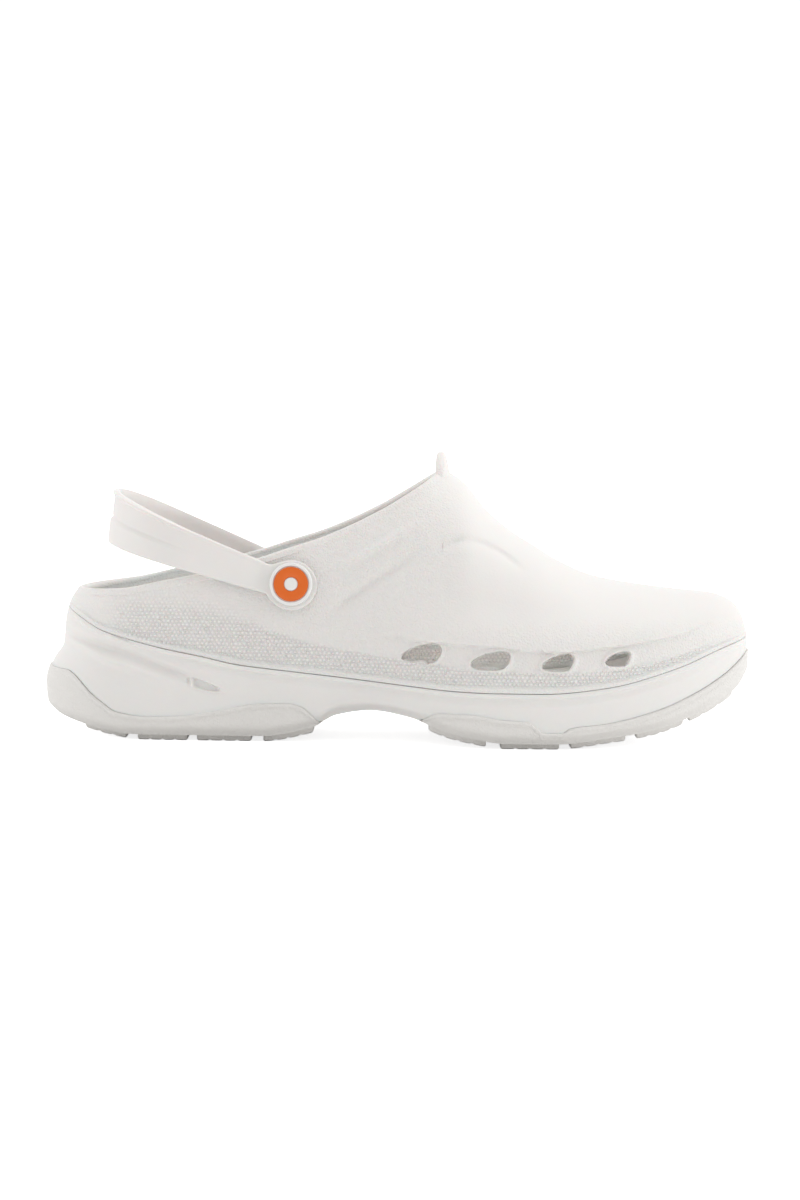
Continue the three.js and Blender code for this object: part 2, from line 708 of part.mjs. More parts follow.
// Heel strap: a band on edge that runs from one eye round behind the heel to the other. Beside the upper
// it lies on the wall, and from strapTurnX back it bends round above the collar.
function heelStrap() {
  const thick = strapThickness / 2;
  const round = thick * 0.6;
  const edges = (x) => {
    const share = (pivotX - x) / (pivotX - strapBackX);
    const middle = pivotZ - strapDrop + (strapBackZ - pivotZ + strapDrop) * share;
    const half = (strapSideWidth + (strapBackWidth - strapSideWidth) * share) / 2;
    return { low: middle - half, high: middle + half };
  };
  const wall = (x, z, side) => {
    const { place, out } = wallSeat(x, Math.min(z, rim(x)), side);
    const clear = gap + strapSideGap * smooth((pivotX - eyeRadius - gap - x) / eyeRadius);
    return place.y + (side * (clear + thick)) / Math.abs(out.y);
  };
  const beside = (x, side) => {
    const { low, high } = edges(x);
    const bottom = wall(x, low, side);
    const top = wall(x, high, side);
    const bulge = side * Math.max(side * (wall(x, (low + high) / 2, side) - (bottom + top) / 2), 0);
    return { low: [x, bottom + bulge, low], high: [x, top + bulge, high] };
  };
  const behind = (angle, side) => {
    const share = Math.pow(Math.sin(angle), 2 / strapBend);
    const across = Math.pow(Math.cos(angle), 2 / strapBend);
    const x = strapTurnX - (strapTurnX - strapBackX) * share;
    const from = beside(strapTurnX, side);
    const { low, high } = edges(x);
    return {
      low: [x, from.low[1] * across, low],
      high: [x + strapLean * share, from.high[1] * across, high],
    };
  };
  const sideSteps = 7;
  const bendSteps = 9;
  const half = (side) => {
    const list = [];
    for (let i = 0; i < sideSteps; i++) list.push(beside(pivotX + (strapTurnX - pivotX) * (i / sideSteps), side));
    for (let i = 0; i <= bendSteps; i++) list.push(behind((Math.PI / 2) * (i / bendSteps), side));
    return list;
  };
  const run = [...half(-1), ...half(1).slice(0, -1).reverse()];
  const centre = ({ low, high }) => new THREE.Vector3(...low).add(new THREE.Vector3(...high)).multiplyScalar(0.5);
  const rings = run.map((edge, i) => {
    const before = centre(run[Math.max(i - 1, 0)]);
    const after = centre(run[Math.min(i + 1, run.length - 1)]);
    const along = after.sub(before).setZ(0).normalize();
    const rise = new THREE.Vector3(...edge.high).sub(new THREE.Vector3(...edge.low));
    const reach = rise.length() / 2;
    const up = rise.normalize();
    const out = new THREE.Vector3().crossVectors(up, along).normalize();
    const base = centre(edge);
    const at = (o, u) => {
      const p = base.clone().addScaledVector(out, o).addScaledVector(up, u);
      return [p.x, p.y, p.z];
    };
    return [
      at(-thick, -reach + round),
      at(-thick + round, -reach),
      at(thick - round, -reach),
      at(thick, -reach + round),
      at(thick, reach - round),
      at(thick - round, reach),
      at(-thick + round, reach),
      at(-thick, reach - round),
    ];
  });
  let strap = solid(loft(rings));
  for (const seat of [pivot(-1), pivot(1)]) {
    strap = strap.add(rod(eyeRadius, eyeSeat, eyeSeat + strapThickness, seat, discSegments));
    strap = strap.subtract(rod(stemRadius + gap, -upperWall, strapThickness * 3, seat, stemSegments));
  }
  return strap;
}

function rivet(seat) {
  const face = eyeSeat + strapThickness + gap;
  const back = -upperWall - innerHeadClearance;
  return turned(
    [
      [0, back - innerHeadThickness],
      [innerHeadRadius - rimRound, back - innerHeadThickness],
      [innerHeadRadius, back - innerHeadThickness + rimRound],
      [innerHeadRadius, back],
      [stemRadius, back],
      [stemRadius, face],
      [buttonRadius, face],
      [buttonRadius, face + buttonThickness - rimRound],
      [buttonRadius - rimRound, face + buttonThickness],
      [ringRadius + gap, face + buttonThickness],
      [ringRadius + gap, face + buttonThickness - ringDepth],
      [ringBore - gap, face + buttonThickness - ringDepth],
      [ringBore - gap, face + buttonThickness],
      [0, face + buttonThickness],
    ],
    seat,
    discSegments,
  );
}
function rivetRing(seat) {
  const floor = eyeSeat + strapThickness + 2 * gap + buttonThickness - ringDepth;
  const top = floor + ringDepth - gap - ringSeat;
  return turned(
    [
      [ringBore, floor],
      [ringRadius, floor],
      [ringRadius, top],
      [ringBore, top],
      [ringBore, floor],
    ],
    seat,
    discSegments,
  );
}

function upper() {
  const seats = [pivot(-1), pivot(1)];
  let shell = upperOuter().subtract(collarCut()).add(instepTab(shoeLength * tabStation)).subtract(cavity);
  for (const vent of ventCuts()) shell = shell.subtract(vent);
  for (const seat of seats) {
    shell = shell.subtract(rod(stemRadius + gap, -upperWall * 3, upperWall * 3, seat, stemSegments));
  }
  return shell;
}

// Assembly
const white = (roughness) => new THREE.MeshStandardMaterial({ color: 0xf1f0ed, roughness, metalness: 0 });
const orange = () => new THREE.MeshStandardMaterial({ color: 0xdc5a0a, roughness: 0.35, metalness: 0 });

const clog = new THREE.Group();
function piece(name, made, material) {
  const mesh = made.getMesh();
  const geometry = new THREE.BufferGeometry();
  geometry.setAttribute("position", new THREE.BufferAttribute(new Float32Array(mesh.vertProperties), 3));
  geometry.setIndex(new THREE.BufferAttribute(new Uint32Array(mesh.triVerts), 1));
  geometry.computeVertexNormals();
  const part = new THREE.Mesh(geometry, material);
  part.name = name;
  clog.add(part);
}
piece("upper", upper(), white(0.5));
piece("midsole", midsole(), white(0.5));
piece("outsole_heel", treadPanel(heelPanelZone, heelLugs), white(0.6));
piece("outsole_forefoot", treadPanel(forefootPanelZone, forefootLugs), white(0.6));
piece("insole", insole(), white(0.7));
piece("heel_strap", heelStrap(), white(0.45));
piece("rivet_lateral", rivet(pivot(-1)), white(0.3));
piece("rivet_medial", rivet(pivot(1)), white(0.3));
piece("rivet_ring_lateral", rivetRing(pivot(-1)), orange());
piece("rivet_ring_medial", rivetRing(pivot(1)), orange());

// The origin is the middle of the shoe's box, on the floor
const box = new THREE.Box3().setFromObject(clog);
const shoe = new THREE.Group();
clog.position.set(-(box.min.x + box.max.x) / 2, -(box.min.y + box.max.y) / 2, -box.min.z);
shoe.add(clog);

export default shoe;
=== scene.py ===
import math

import bpy
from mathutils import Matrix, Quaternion, Vector


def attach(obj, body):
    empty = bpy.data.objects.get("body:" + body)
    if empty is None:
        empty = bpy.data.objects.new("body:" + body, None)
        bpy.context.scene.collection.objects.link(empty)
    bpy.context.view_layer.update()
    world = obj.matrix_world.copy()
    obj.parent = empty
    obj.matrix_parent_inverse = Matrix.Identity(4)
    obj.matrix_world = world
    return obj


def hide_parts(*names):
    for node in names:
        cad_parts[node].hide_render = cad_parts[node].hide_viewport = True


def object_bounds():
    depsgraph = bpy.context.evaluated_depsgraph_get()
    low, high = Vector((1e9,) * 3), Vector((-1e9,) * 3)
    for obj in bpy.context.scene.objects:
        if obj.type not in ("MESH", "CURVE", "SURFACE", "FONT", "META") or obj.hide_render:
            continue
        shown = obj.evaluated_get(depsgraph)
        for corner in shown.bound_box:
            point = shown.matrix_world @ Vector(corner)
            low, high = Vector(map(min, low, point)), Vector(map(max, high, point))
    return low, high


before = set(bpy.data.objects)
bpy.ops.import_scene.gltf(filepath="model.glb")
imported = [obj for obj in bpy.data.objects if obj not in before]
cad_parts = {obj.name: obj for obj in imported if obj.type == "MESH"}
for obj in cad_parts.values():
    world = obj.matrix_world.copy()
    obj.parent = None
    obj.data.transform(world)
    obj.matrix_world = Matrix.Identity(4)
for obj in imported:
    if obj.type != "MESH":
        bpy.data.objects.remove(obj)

for name in ("Cube", "Light", "Camera"):
    if name in bpy.data.objects:
        bpy.data.objects.remove(bpy.data.objects[name])
cad_low, cad_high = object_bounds()

MM = 0.001

# Sizes of the clog in millimetres, measured from the heel's back end, with the toe along +X
SHOE_LENGTH = 288
BALL_WIDTH = 107
HEEL_WIDTH = 82
INSTEP_HEIGHT = 110
HEEL_HEIGHT = 60.5
TOE_SPRING = 28
ARCH_HEIGHT = 12
WELT_HEIGHT = 22.5
HEEL_CUP_RISE = 29
TOE_CUP_RISE = 20.5
HEEL_LEAN = 13
LEAN_REACH = 90
TOE_TURN = 9
WALL = 3.5
SOLE_LEDGE = 2.2
GAP = 0.3
PANEL_PROUD = 0.8
PANEL_THICKNESS = 2.4
LUG_HEIGHT = 2.5
LUG_INSET = 6.2
BED_HEIGHT = 18
HEEL_BED_RISE = 8
TOE_BED_RISE = 14
INSOLE_THICKNESS = 4

# Strap, rivets, tab and tread lugs: stations along the shoe and heights over the floor
PIVOT = (101, 63.6)
EYE_RADIUS, EYE_SEAT, STRAP_THICKNESS = 10, 0.6, 3
TURN_X, BACK_X, STRAP_BEND, STRAP_LEAN = 60, 26, 2.2, 2
STRAP_SIDE_WIDTH, STRAP_BACK_WIDTH, STRAP_BACK_Z = 10.6, 21.6, 88.5
FACE = EYE_SEAT + STRAP_THICKNESS + GAP
BUTTON_RADIUS, BUTTON_HEIGHT, BUTTON_ROUND, STEM_RADIUS = 8.65, 2.6, 0.75, 4
TAB_X, TAB_HEIGHT, TAB_THICKNESS, TAB_HALF_WIDTH, TAB_SWEEP, TAB_FALL = 162.14, 8, 3.6, 15, 1.8, 4.5
HEEL_ZONE = (-1, 114.6)
FOREFOOT_ZONE = (152.6, 289)
HEEL_LUGS = ((12.4, 28.4), (33.4, 56.9), (61.4, 85.3), (90.2, 110.4))
FOREFOOT_LUGS = ((156.6, 179.6), (185.4, 208.9), (213.4, 235.7), (240.2, 259.6), (262, 281))

# How finely the meshes are laid
FOOT_ROWS, BAND_ROWS, ARCH_ROWS = 10, 28, 44
STATIONS_BEHIND, STATIONS_AHEAD = 150, 108
SOLE_STATIONS, PANEL_STATIONS, BED_STATIONS = 300, 190, 150
MERGE_DISTANCE = 2e-6
SMOOTH_ANGLE = 40

# Tables: x and z are shares of the shoe's length and of the height named in each heading
OUTLINE = {  # x: outer half-width, inner half-width, blend from heel to ball width
    0: (1, 1, 0), 0.16: (1, 1, 0), 0.3: (0.98, 0.93, 0), 0.42: (0.93, 0.8, 0.35),
    0.52: (0.955, 0.83, 0.8), 0.62: (1.01, 0.94, 1), 0.72: (1.03, 0.96, 1), 0.82: (1.01, 0.93, 1),
    0.92: (0.98, 0.92, 1), 1: (0.96, 0.92, 1),
}
HEEL_ROUND = (44, 2.25)
TOE_ROUND = (84, 2.4)
CREST = {  # x: height of the vamp's crest over the instep height
    0: 0.8, 0.14: 0.87, 0.28: 0.95, 0.42: 1.02, 0.52: 1.035, 0.565: 0.99, 0.587: 0.955, 0.621: 0.852,
    0.655: 0.775, 0.69: 0.718, 0.724: 0.664, 0.776: 0.606, 0.827: 0.58, 0.896: 0.558, 0.947: 0.546,
    0.972: 0.525, 0.988: 0.486, 1: 0.4,
}
RIM = {  # x: rise of the collar's rim from the heel height to the instep height
    0: -0.03, 0.075: 0, 0.14: 0.065, 0.215: 0.135, 0.3: 0.255, 0.342: 0.34, 0.392: 0.44, 0.472: 0.665,
    0.515: 0.82, 0.558: 0.985, 0.6: 1.15,
}
WELT = {  # x: rise of the seam over the heel cup's rise, and over the toe cup's rise
    0: (1, 0), 0.03: (0.87, 0), 0.065: (0.72, 0), 0.107: (0.62, 0), 0.163: (0.5, 0), 0.222: (0.4, 0),
    0.278: (0.29, 0), 0.35: (0.215, 0), 0.422: (0.15, 0), 0.5: (0.08, 0), 0.58: (0.015, 0),
    0.64: (0, 0), 0.7: (0, 0), 0.788: (0, 0.11), 0.887: (0, 0.46), 0.958: (0, 0.83), 1: (0, 1),
}
KEEL = {  # x: height of the tread over the arch height, and over the toe spring
    0: (0.85, 0), 0.02: (0.47, 0), 0.045: (0.28, 0), 0.07: (0.14, 0), 0.115: (0, 0), 0.31: (0, 0),
    0.38: (0.31, 0), 0.415: (0.77, 0), 0.466: (0.97, 0), 0.515: (0.8, 0), 0.57: (0.32, 0),
    0.603: (0.15, 0), 0.65: (0, 0), 0.72: (0, 0), 0.792: (0, 0.08), 0.86: (0, 0.19),
    0.913: (0, 0.37), 0.947: (0, 0.53), 0.98: (0, 0.74), 1: (0, 1),
}
HEEL_BACK = {  # z over the heel height: lean of the heel's back over the heel's lean
    0: 0.7, 0.075: 0.38, 0.21: 0.06, 0.35: 0.02, 0.48: 0.17, 0.6: 0.5, 0.76: 0.56, 0.88: 0.68, 1: 1,
    1.6: 1.9,
}
ARCH_POWER = {0: 2.9, 0.35: 2.6, 0.55: 2.15, 0.7: 2.3, 0.85: 2.5, 1: 2.5}


def curve(table, column=None):
    """Smooth curve through a table, with no overshoot between its rows."""
    at = list(table)
    value = [row if column is None else row[column] for row in table.values()]
    slope = [(value[i + 1] - value[i]) / (at[i + 1] - at[i]) for i in range(len(at) - 1)]
    tangent = [slope[0]]
    for before, after in zip(slope, slope[1:]):
        tangent.append(0 if before * after <= 0 else 2 * before * after / (before + after))
    tangent.append(slope[-1])

    def read(x):
        if x <= at[0]:
            return value[0]
        if x >= at[-1]:
            return value[-1]
        i = next(k for k, a in enumerate(at) if a > x) - 1
        span = at[i + 1] - at[i]
        t = (x - at[i]) / span
        s = 1 - t
        ends = value[i] * (1 + 2 * t) * s * s + value[i + 1] * (3 - 2 * t) * t * t
        return ends + span * t * s * (tangent[i] * s - tangent[i + 1] * t)

    return read


def smooth(t):
    t = min(max(t, 0), 1)
    return t * t * (3 - 2 * t)


def between(x, start, end, fade):
    """1 between start and end, fading to 0 over the fade's length at both sides."""
    return smooth((x - start) / fade + 0.5) * smooth((end - x) / fade + 0.5)


def bump(distance, width):
    return math.exp(-((distance / width) ** 2))


lateral_share, medial_share, waist_share = (curve(OUTLINE, i) for i in range(3))
crest_share, rim_share, back_lean, arch_power = curve(CREST), curve(RIM), curve(HEEL_BACK), curve(ARCH_POWER)
welt_heel, welt_toe = curve(WELT, 0), curve(WELT, 1)
keel_arch, keel_toe = curve(KEEL, 0), curve(KEEL, 1)


def crest(x):
    return INSTEP_HEIGHT * crest_share(x / SHOE_LENGTH)


def rim(x):
    return HEEL_HEIGHT + (INSTEP_HEIGHT - HEEL_HEIGHT) * rim_share(x / SHOE_LENGTH)


def welt(x):
    u = x / SHOE_LENGTH
    return WELT_HEIGHT + HEEL_CUP_RISE * welt_heel(u) + TOE_CUP_RISE * welt_toe(u)


def keel(x):
    u = x / SHOE_LENGTH
    return ARCH_HEIGHT * keel_arch(u) + TOE_SPRING * keel_toe(u)


def bed(x):
    u = x / SHOE_LENGTH
    heel_part = 1 - smooth((u - 0.35) / 0.25)
    toe_part = smooth((u - 0.72) / 0.28)
    return BED_HEIGHT + HEEL_BED_RISE * heel_part + TOE_BED_RISE * toe_part


def centre_line(x):
    return TOE_TURN * smooth((x / SHOE_LENGTH - 0.55) / 0.45)


def lean(x, z):
    return HEEL_LEAN * back_lean(z / HEEL_HEIGHT) * (1 - smooth(x / LEAN_REACH))


def half_width(x, side):
    u = x / SHOE_LENGTH
    width = HEEL_WIDTH + (BALL_WIDTH - HEEL_WIDTH) * waist_share(u)
    share = lateral_share(u) if side < 0 else medial_share(u)
    ends = 1
    for reach, (length, power) in ((x, HEEL_ROUND), (SHOE_LENGTH - x, TOE_ROUND)):
        left = max(1 - min(reach / length, 1), 0)
        ends *= max(1 - left ** power, 0) ** (1 / power)
    return width / 2 * share * ends


# The part's frame has its origin at the middle of the model's box
OFFSET_X = cad_high.x / MM - PANEL_PROUD - SHOE_LENGTH
widest = max(half_width(x, -1) - centre_line(x) for x in range(120, 260))
OFFSET_Y = cad_low.y / MM + PANEL_PROUD + widest


def place(x, y, z):
    return Vector(((x + OFFSET_X) * MM, (y + OFFSET_Y) * MM, z * MM))


def take(piece):
    """Makes a piece the only selected object, and the active one."""
    bpy.ops.object.select_all(action="DESELECT")
    bpy.context.view_layer.objects.active = piece
    piece.select_set(True)


def edit(piece):
    take(piece)
    bpy.ops.object.mode_set(mode="EDIT")
    bpy.ops.mesh.select_mode(type="VERT")
    bpy.ops.mesh.select_all(action="SELECT")


def object_mode():
    bpy.ops.object.mode_set(mode="OBJECT")


def shaped_grid(name, points):
    """A grid primitive laid over rows of points, one list for each column, with its seams closed."""
    columns, rows = len(points) - 1, len(points[0]) - 1
    bpy.ops.object.select_all(action="DESELECT")
    bpy.ops.mesh.primitive_grid_add(x_subdivisions=columns, y_subdivisions=rows, size=1)
    piece = bpy.context.object
    piece.name = piece.data.name = name
    for vertex in piece.data.vertices:
        i = round((vertex.co.x + 0.5) * columns)
        j = round((vertex.co.y + 0.5) * rows)
        vertex.co = points[i][j]
    return piece


def close_up(piece, fill=False):
    """Merges the seams, fills open ends if asked, and turns the faces outwards."""
    edit(piece)
    bpy.ops.mesh.remove_doubles(threshold=MERGE_DISTANCE)
    bpy.ops.mesh.dissolve_degenerate(threshold=1e-6)
    if fill:
        bpy.ops.mesh.select_all(action="DESELECT")
        bpy.ops.mesh.select_non_manifold(extend=False, use_wire=False, use_multi_face=False,
                                         use_non_contiguous=False, use_verts=False)
        bpy.ops.mesh.fill()
        bpy.ops.mesh.select_all(action="SELECT")
    bpy.ops.mesh.normals_make_consistent(inside=False)
    object_mode()


def join(name, *parts):
    bpy.ops.object.select_all(action="DESELECT")
    for part in parts:
        part.select_set(True)
    bpy.context.view_layer.objects.active = parts[0]
    bpy.ops.object.join()
    parts[0].name = parts[0].data.name = name
    return parts[0]


def modify(piece, kind, **settings):
    take(piece)
    modifier = piece.modifiers.new(kind.title(), kind)
    for key, value in settings.items():
        setattr(modifier, key, value)
    bpy.ops.object.modifier_apply(modifier=modifier.name)


def combine(piece, other, operation):
    """Joins or cuts with another closed mesh, which is then removed."""
    modify(piece, "BOOLEAN", object=other, operation=operation, solver="MANIFOLD")
    bpy.data.objects.remove(other)


# Lines on the shoe's side, x and z in millimetres over the floor
BAND_LINE = curve({60: 48, 80: 45, 95: 42.6, 121: 38.8, 157: 34, 181: 31.7, 208: 31.5, 231: 32.8, 247: 35.4,
                   262: 39.5, 276: 45})
OVERHANG_LINE = curve({144: 43.4, 161: 42.2, 185: 41, 194: 39.4, 210: 39.4, 227: 41, 243: 43.2, 255: 45.4,
                       268: 50})
QUARTER_RIDGE = curve({112: 67, 117: 70, 132: 78.2, 143: 84.6, 150: 88.6})
QUARTER_TROUGH = curve({112: 51, 119.5: 55.8, 133.5: 65, 147: 73.8, 156: 79})
VAMP_CREASE = curve({158: 78.5, 161: 80.2, 166.5: 82.4, 171.5: 83, 177: 81.4, 184: 77.9, 190: 73.8,
                     194: 70.5})

# Vents in the outer side: x limits and heights of the lowest and highest point
VENTS = ((145, 161.6, 34, 42.2), (172.6, 189, 32, 40), (201, 214.6, 31.8, 39.1), (226.4, 237.3, 33.7, 40.1))
VENT_SHAPE = (  # outline of a vent as shares of its length and height
    (0, 0.3), (0.015, 0.42), (0.07, 0.54), (0.2, 0.7), (0.4, 0.87), (0.58, 0.96), (0.74, 1),
    (0.87, 0.98), (0.96, 0.89), (1, 0.72), (0.98, 0.5), (0.94, 0.31), (0.87, 0.14), (0.78, 0.04),
    (0.66, 0), (0.4, 0), (0.2, 0.015), (0.1, 0.06), (0.035, 0.14), (0.005, 0.22),
)
VENT_MIDDLE = (0.52, 0.48)
VENT_MARGIN = 1.8


def vent_ray(vent, angle):
    """Point of a vent's outline in the direction of an angle from its middle, in x and z."""
    low_x, high_x, low_z, high_z = vent
    middle = VENT_MIDDLE
    count = len(VENT_SHAPE)
    want = (math.cos(angle) / (high_x - low_x), math.sin(angle) / (high_z - low_z))
    size = math.hypot(*want)
    want = (want[0] / size, want[1] / size)
    best = 0
    for k in range(count):
        (u0, v0), (u1, v1) = VENT_SHAPE[k], VENT_SHAPE[(k + 1) % count]
        a, b = (u0 - middle[0], v0 - middle[1]), (u1 - middle[0], v1 - middle[1])
        d = (b[0] - a[0], b[1] - a[1])
        cross = want[0] * d[1] - want[1] * d[0]
        if abs(cross) < 1e-9:
            continue
        reach = (a[0] * d[1] - a[1] * d[0]) / cross
        along = (a[0] * want[1] - a[1] * want[0]) / cross
        if reach > 0 and -1e-6 <= along <= 1 + 1e-6:
            best = max(best, reach)
    return ((middle[0] + want[0] * best) * (high_x - low_x) + low_x,
            (middle[1] + want[1] * best) * (high_z - low_z) + low_z)


def vent_middle(vent):
    low_x, high_x, low_z, high_z = vent
    return low_x + VENT_MIDDLE[0] * (high_x - low_x), low_z + VENT_MIDDLE[1] * (high_z - low_z)


def vent_lip(x, z):
    """Height of the raised lip round the vents."""
    for vent in VENTS:
        if not (vent[0] - 4 < x < vent[1] + 4 and vent[2] - 4 < z < vent[3] + 4):
            continue
        cx, cz = vent_middle(vent)
        angle = math.atan2(z - cz, x - cx)
        ox, oz = vent_ray(vent, angle)
        beyond = math.hypot(x - cx, z - cz) - math.hypot(ox - cx, oz - cz)
        return 0.7 * smooth(1 - (beyond - 0.5) / 1.3)
    return 0


def upper_relief(x, z, side):
    """How far the upper's face stands out from its plain arch."""
    above = z - welt(x)
    channel = -0.12 * smooth(1 - (above - 0.15) / 0.3)
    bead = 1.45 * smooth((above - 0.2) / 0.5) * smooth(1 - (above - 2.0) / 0.7) + channel
    band_in = between(x, 92, 262, 26)
    line = BAND_LINE(x)
    band = 0.7 * smooth((line - z) / 0.7 + 0.5) * band_in + 0.3 * bump(z - line, 0.7) * band_in
    step = z - OVERHANG_LINE(x)
    overhang = 2.2 * smooth(step / 0.9 + 0.5) * (1 - smooth((step - 1) / 17)) * between(x, 146, 262, 34)
    ridge = 1.6 * bump(z - QUARTER_RIDGE(x), 1.5) * between(x, 119, 149, 12)
    fold = -2.1 * bump(z - QUARTER_TROUGH(x), 2.6) * between(x, 119, 150, 14)
    crease = -1.5 * bump(z - VAMP_CREASE(x), 1.1) * between(x, 162, 192, 8)
    swell = 0.7 * smooth((VAMP_CREASE(x) - z) / 5) * smooth((z - 55) / 20) * between(x, 163, 188, 16)
    lip = vent_lip(x, z) if side < 0 else 0
    lip += 0.5 * smooth(1 - (rim(x) - z - 2.0) / 0.5) * smooth((THROAT + 2 - x) / 12)
    return bead + band + overhang + ridge + fold + crease + swell + lip


def arch_width(x, z, side):
    low, high = welt(x), crest(x)
    share = min(max((z - low) / (high - low), 0), 1)
    power = arch_power(x / SHOE_LENGTH)
    arch = max(1 - share ** power, 0) ** (1 / power)
    return max(half_width(x, side) - SOLE_LEDGE, 0) * arch


def upper_point(x, z, side):
    base = arch_width(x, z, side)
    relief = upper_relief(x, z, side) * min(base / 10, 1)
    return place(x + lean(x, z), centre_line(x) + side * max(base + relief, 0), z)


def throat():
    """Station where the rim meets the crest."""
    low, high = SHOE_LENGTH * 0.45, SHOE_LENGTH * 0.6
    for _ in range(40):
        middle = (low + high) / 2
        if rim(middle) < crest(middle):
            low = middle
        else:
            high = middle
    return low


THROAT = throat()


def tip(outside, inside, width):
    """Station between the shoe's end and its middle where the outline is this wide."""
    for _ in range(50):
        middle = (outside + inside) / 2
        if half_width(middle, -1) < width:
            outside = middle
        else:
            inside = middle
    return outside


def upper_stations():
    start, end = tip(0, 40, SOLE_LEDGE), tip(SHOE_LENGTH, 200, SOLE_LEDGE)
    stations = [start + (THROAT - start) * (1 - math.cos(math.pi * i / STATIONS_BEHIND)) / 2
                for i in range(STATIONS_BEHIND)]
    stations += [THROAT + (end - THROAT) * math.sin(math.pi / 2 * i / STATIONS_AHEAD)
                 for i in range(STATIONS_AHEAD + 1)]
    return stations


def band_size(x):
    """Height of the densely modelled band over the seam, and of its lowest part."""
    top = min(rim(x), crest(x)) if x < THROAT else crest(x)
    band = min(23, 0.45 * (top - welt(x)))
    return band, min(3.2, 0.3 * band)


def band_row(x, z):
    band, foot = band_size(x)
    return (z - welt(x) - foot) / (band - foot) * BAND_ROWS


def row_heights(x):
    """Heights of a section's rows: close together along the band, then round the arch."""
    low, high = welt(x), crest(x)
    top = min(rim(x), high) if x < THROAT else high
    band, foot = band_size(x)
    heights = [low + foot * k / FOOT_ROWS for k in range(FOOT_ROWS)]
    heights += [low + foot + (band - foot) * k / BAND_ROWS for k in range(BAND_ROWS + 1)]
    power = arch_power(x / SHOE_LENGTH)

    def angle(z):
        return math.asin(min(max((z - low) / (high - low), 0), 1) ** (power / 2))

    start, end = angle(low + band), angle(top)
    for k in range(1, ARCH_ROWS + 1):
        turn = start + (end - start) * k / ARCH_ROWS
        heights.append(low + (high - low) * math.sin(turn) ** (2 / power))
    heights[-1] = top
    return heights


def vent_hole(piece, vent):
    """Opens the faces over a vent, then draws the hole's edge in to the vent's outline."""
    cx, cz = vent_middle(vent)
    edit(piece)
    bpy.ops.mesh.select_all(action="DESELECT")
    bpy.ops.mesh.select_mode(type="FACE")
    object_mode()
    ends = (vent[0] - VENT_MARGIN, vent[1] + VENT_MARGIN)
    first = round(min(band_row(x, vent[2] - VENT_MARGIN) for x in ends))
    last = round(max(band_row(x, vent[3] + VENT_MARGIN) for x in ends))
    for face in piece.data.polygons:
        x, z = face.center.x / MM - OFFSET_X, face.center.z / MM
        face.select = ends[0] < x < ends[1] and first < band_row(x, z) < min(last, BAND_ROWS)
    bpy.ops.object.mode_set(mode="EDIT")
    bpy.ops.mesh.delete(type="FACE")
    bpy.ops.mesh.select_mode(type="EDGE")
    bpy.ops.mesh.select_all(action="DESELECT")
    object_mode()
    faces_at = {}
    for face in piece.data.polygons:
        for key in face.edge_keys:
            faces_at[key] = faces_at.get(key, 0) + 1
    points = piece.data.vertices
    reach = VENT_MARGIN + 4
    for edge in piece.data.edges:
        middle = (points[edge.vertices[0]].co + points[edge.vertices[1]].co) / 2
        x, z = middle.x / MM - OFFSET_X, middle.z / MM
        near = vent[0] - reach < x < vent[1] + reach and vent[2] - reach < z < vent[3] + reach
        near = near and middle.y < 0 and z > welt(x) + 0.5
        edge.select = near and faces_at.get(tuple(sorted(edge.vertices)), 0) == 1
    home = {}
    for edge in piece.data.edges:
        if edge.select:
            for index in edge.vertices:
                co = points[index].co
                x, z = co.x / MM - OFFSET_X, co.z / MM
                home[tuple(co)] = (x, z, vent_ray(vent, math.atan2(z - cz, x - cx)))
    for share in (0.25, 0.5, 0.7, 0.84, 0.93, 1):
        bpy.ops.object.mode_set(mode="EDIT")
        bpy.ops.mesh.extrude_edges_move()
        object_mode()
        moved = {}
        for vertex in piece.data.vertices:
            if vertex.select:
                from_x, from_z, (to_x, to_z) = home[tuple(vertex.co)]
                x, z = from_x + (to_x - from_x) * share, from_z + (to_z - from_z) * share
                vertex.co = upper_point(x, z, -1)
                moved[tuple(vertex.co)] = (from_x, from_z, (to_x, to_z))
        home = moved


def mark_rim(piece, chosen, widths, even):
    """Rounds a strip of rim faces: each step insets them and lifts them a little."""
    for width, height in widths:
        edit(piece)
        bpy.ops.mesh.select_mode(type="FACE")
        bpy.ops.mesh.select_all(action="DESELECT")
        object_mode()
        for face in piece.data.polygons:
            face.select = face.material_index == 1 and chosen(face.center)
        bpy.ops.object.mode_set(mode="EDIT")
        bpy.ops.mesh.inset(thickness=width * MM, depth=height * MM, use_even_offset=even)
        object_mode()
        for face in piece.data.polygons:
            if face.material_index == 1 and chosen(face.center) and not face.select:
                face.material_index = 2


def local(point):
    return point.x / MM - OFFSET_X, point.y / MM - OFFSET_Y, point.z / MM


def at_collar(point):
    x, _, z = local(point)
    return x < THROAT + 3 and z > rim(x) - 4.5


def at_vent(point):
    x, y, z = local(point)
    return y < 0 and not at_collar(point) and z > welt(x) + 4


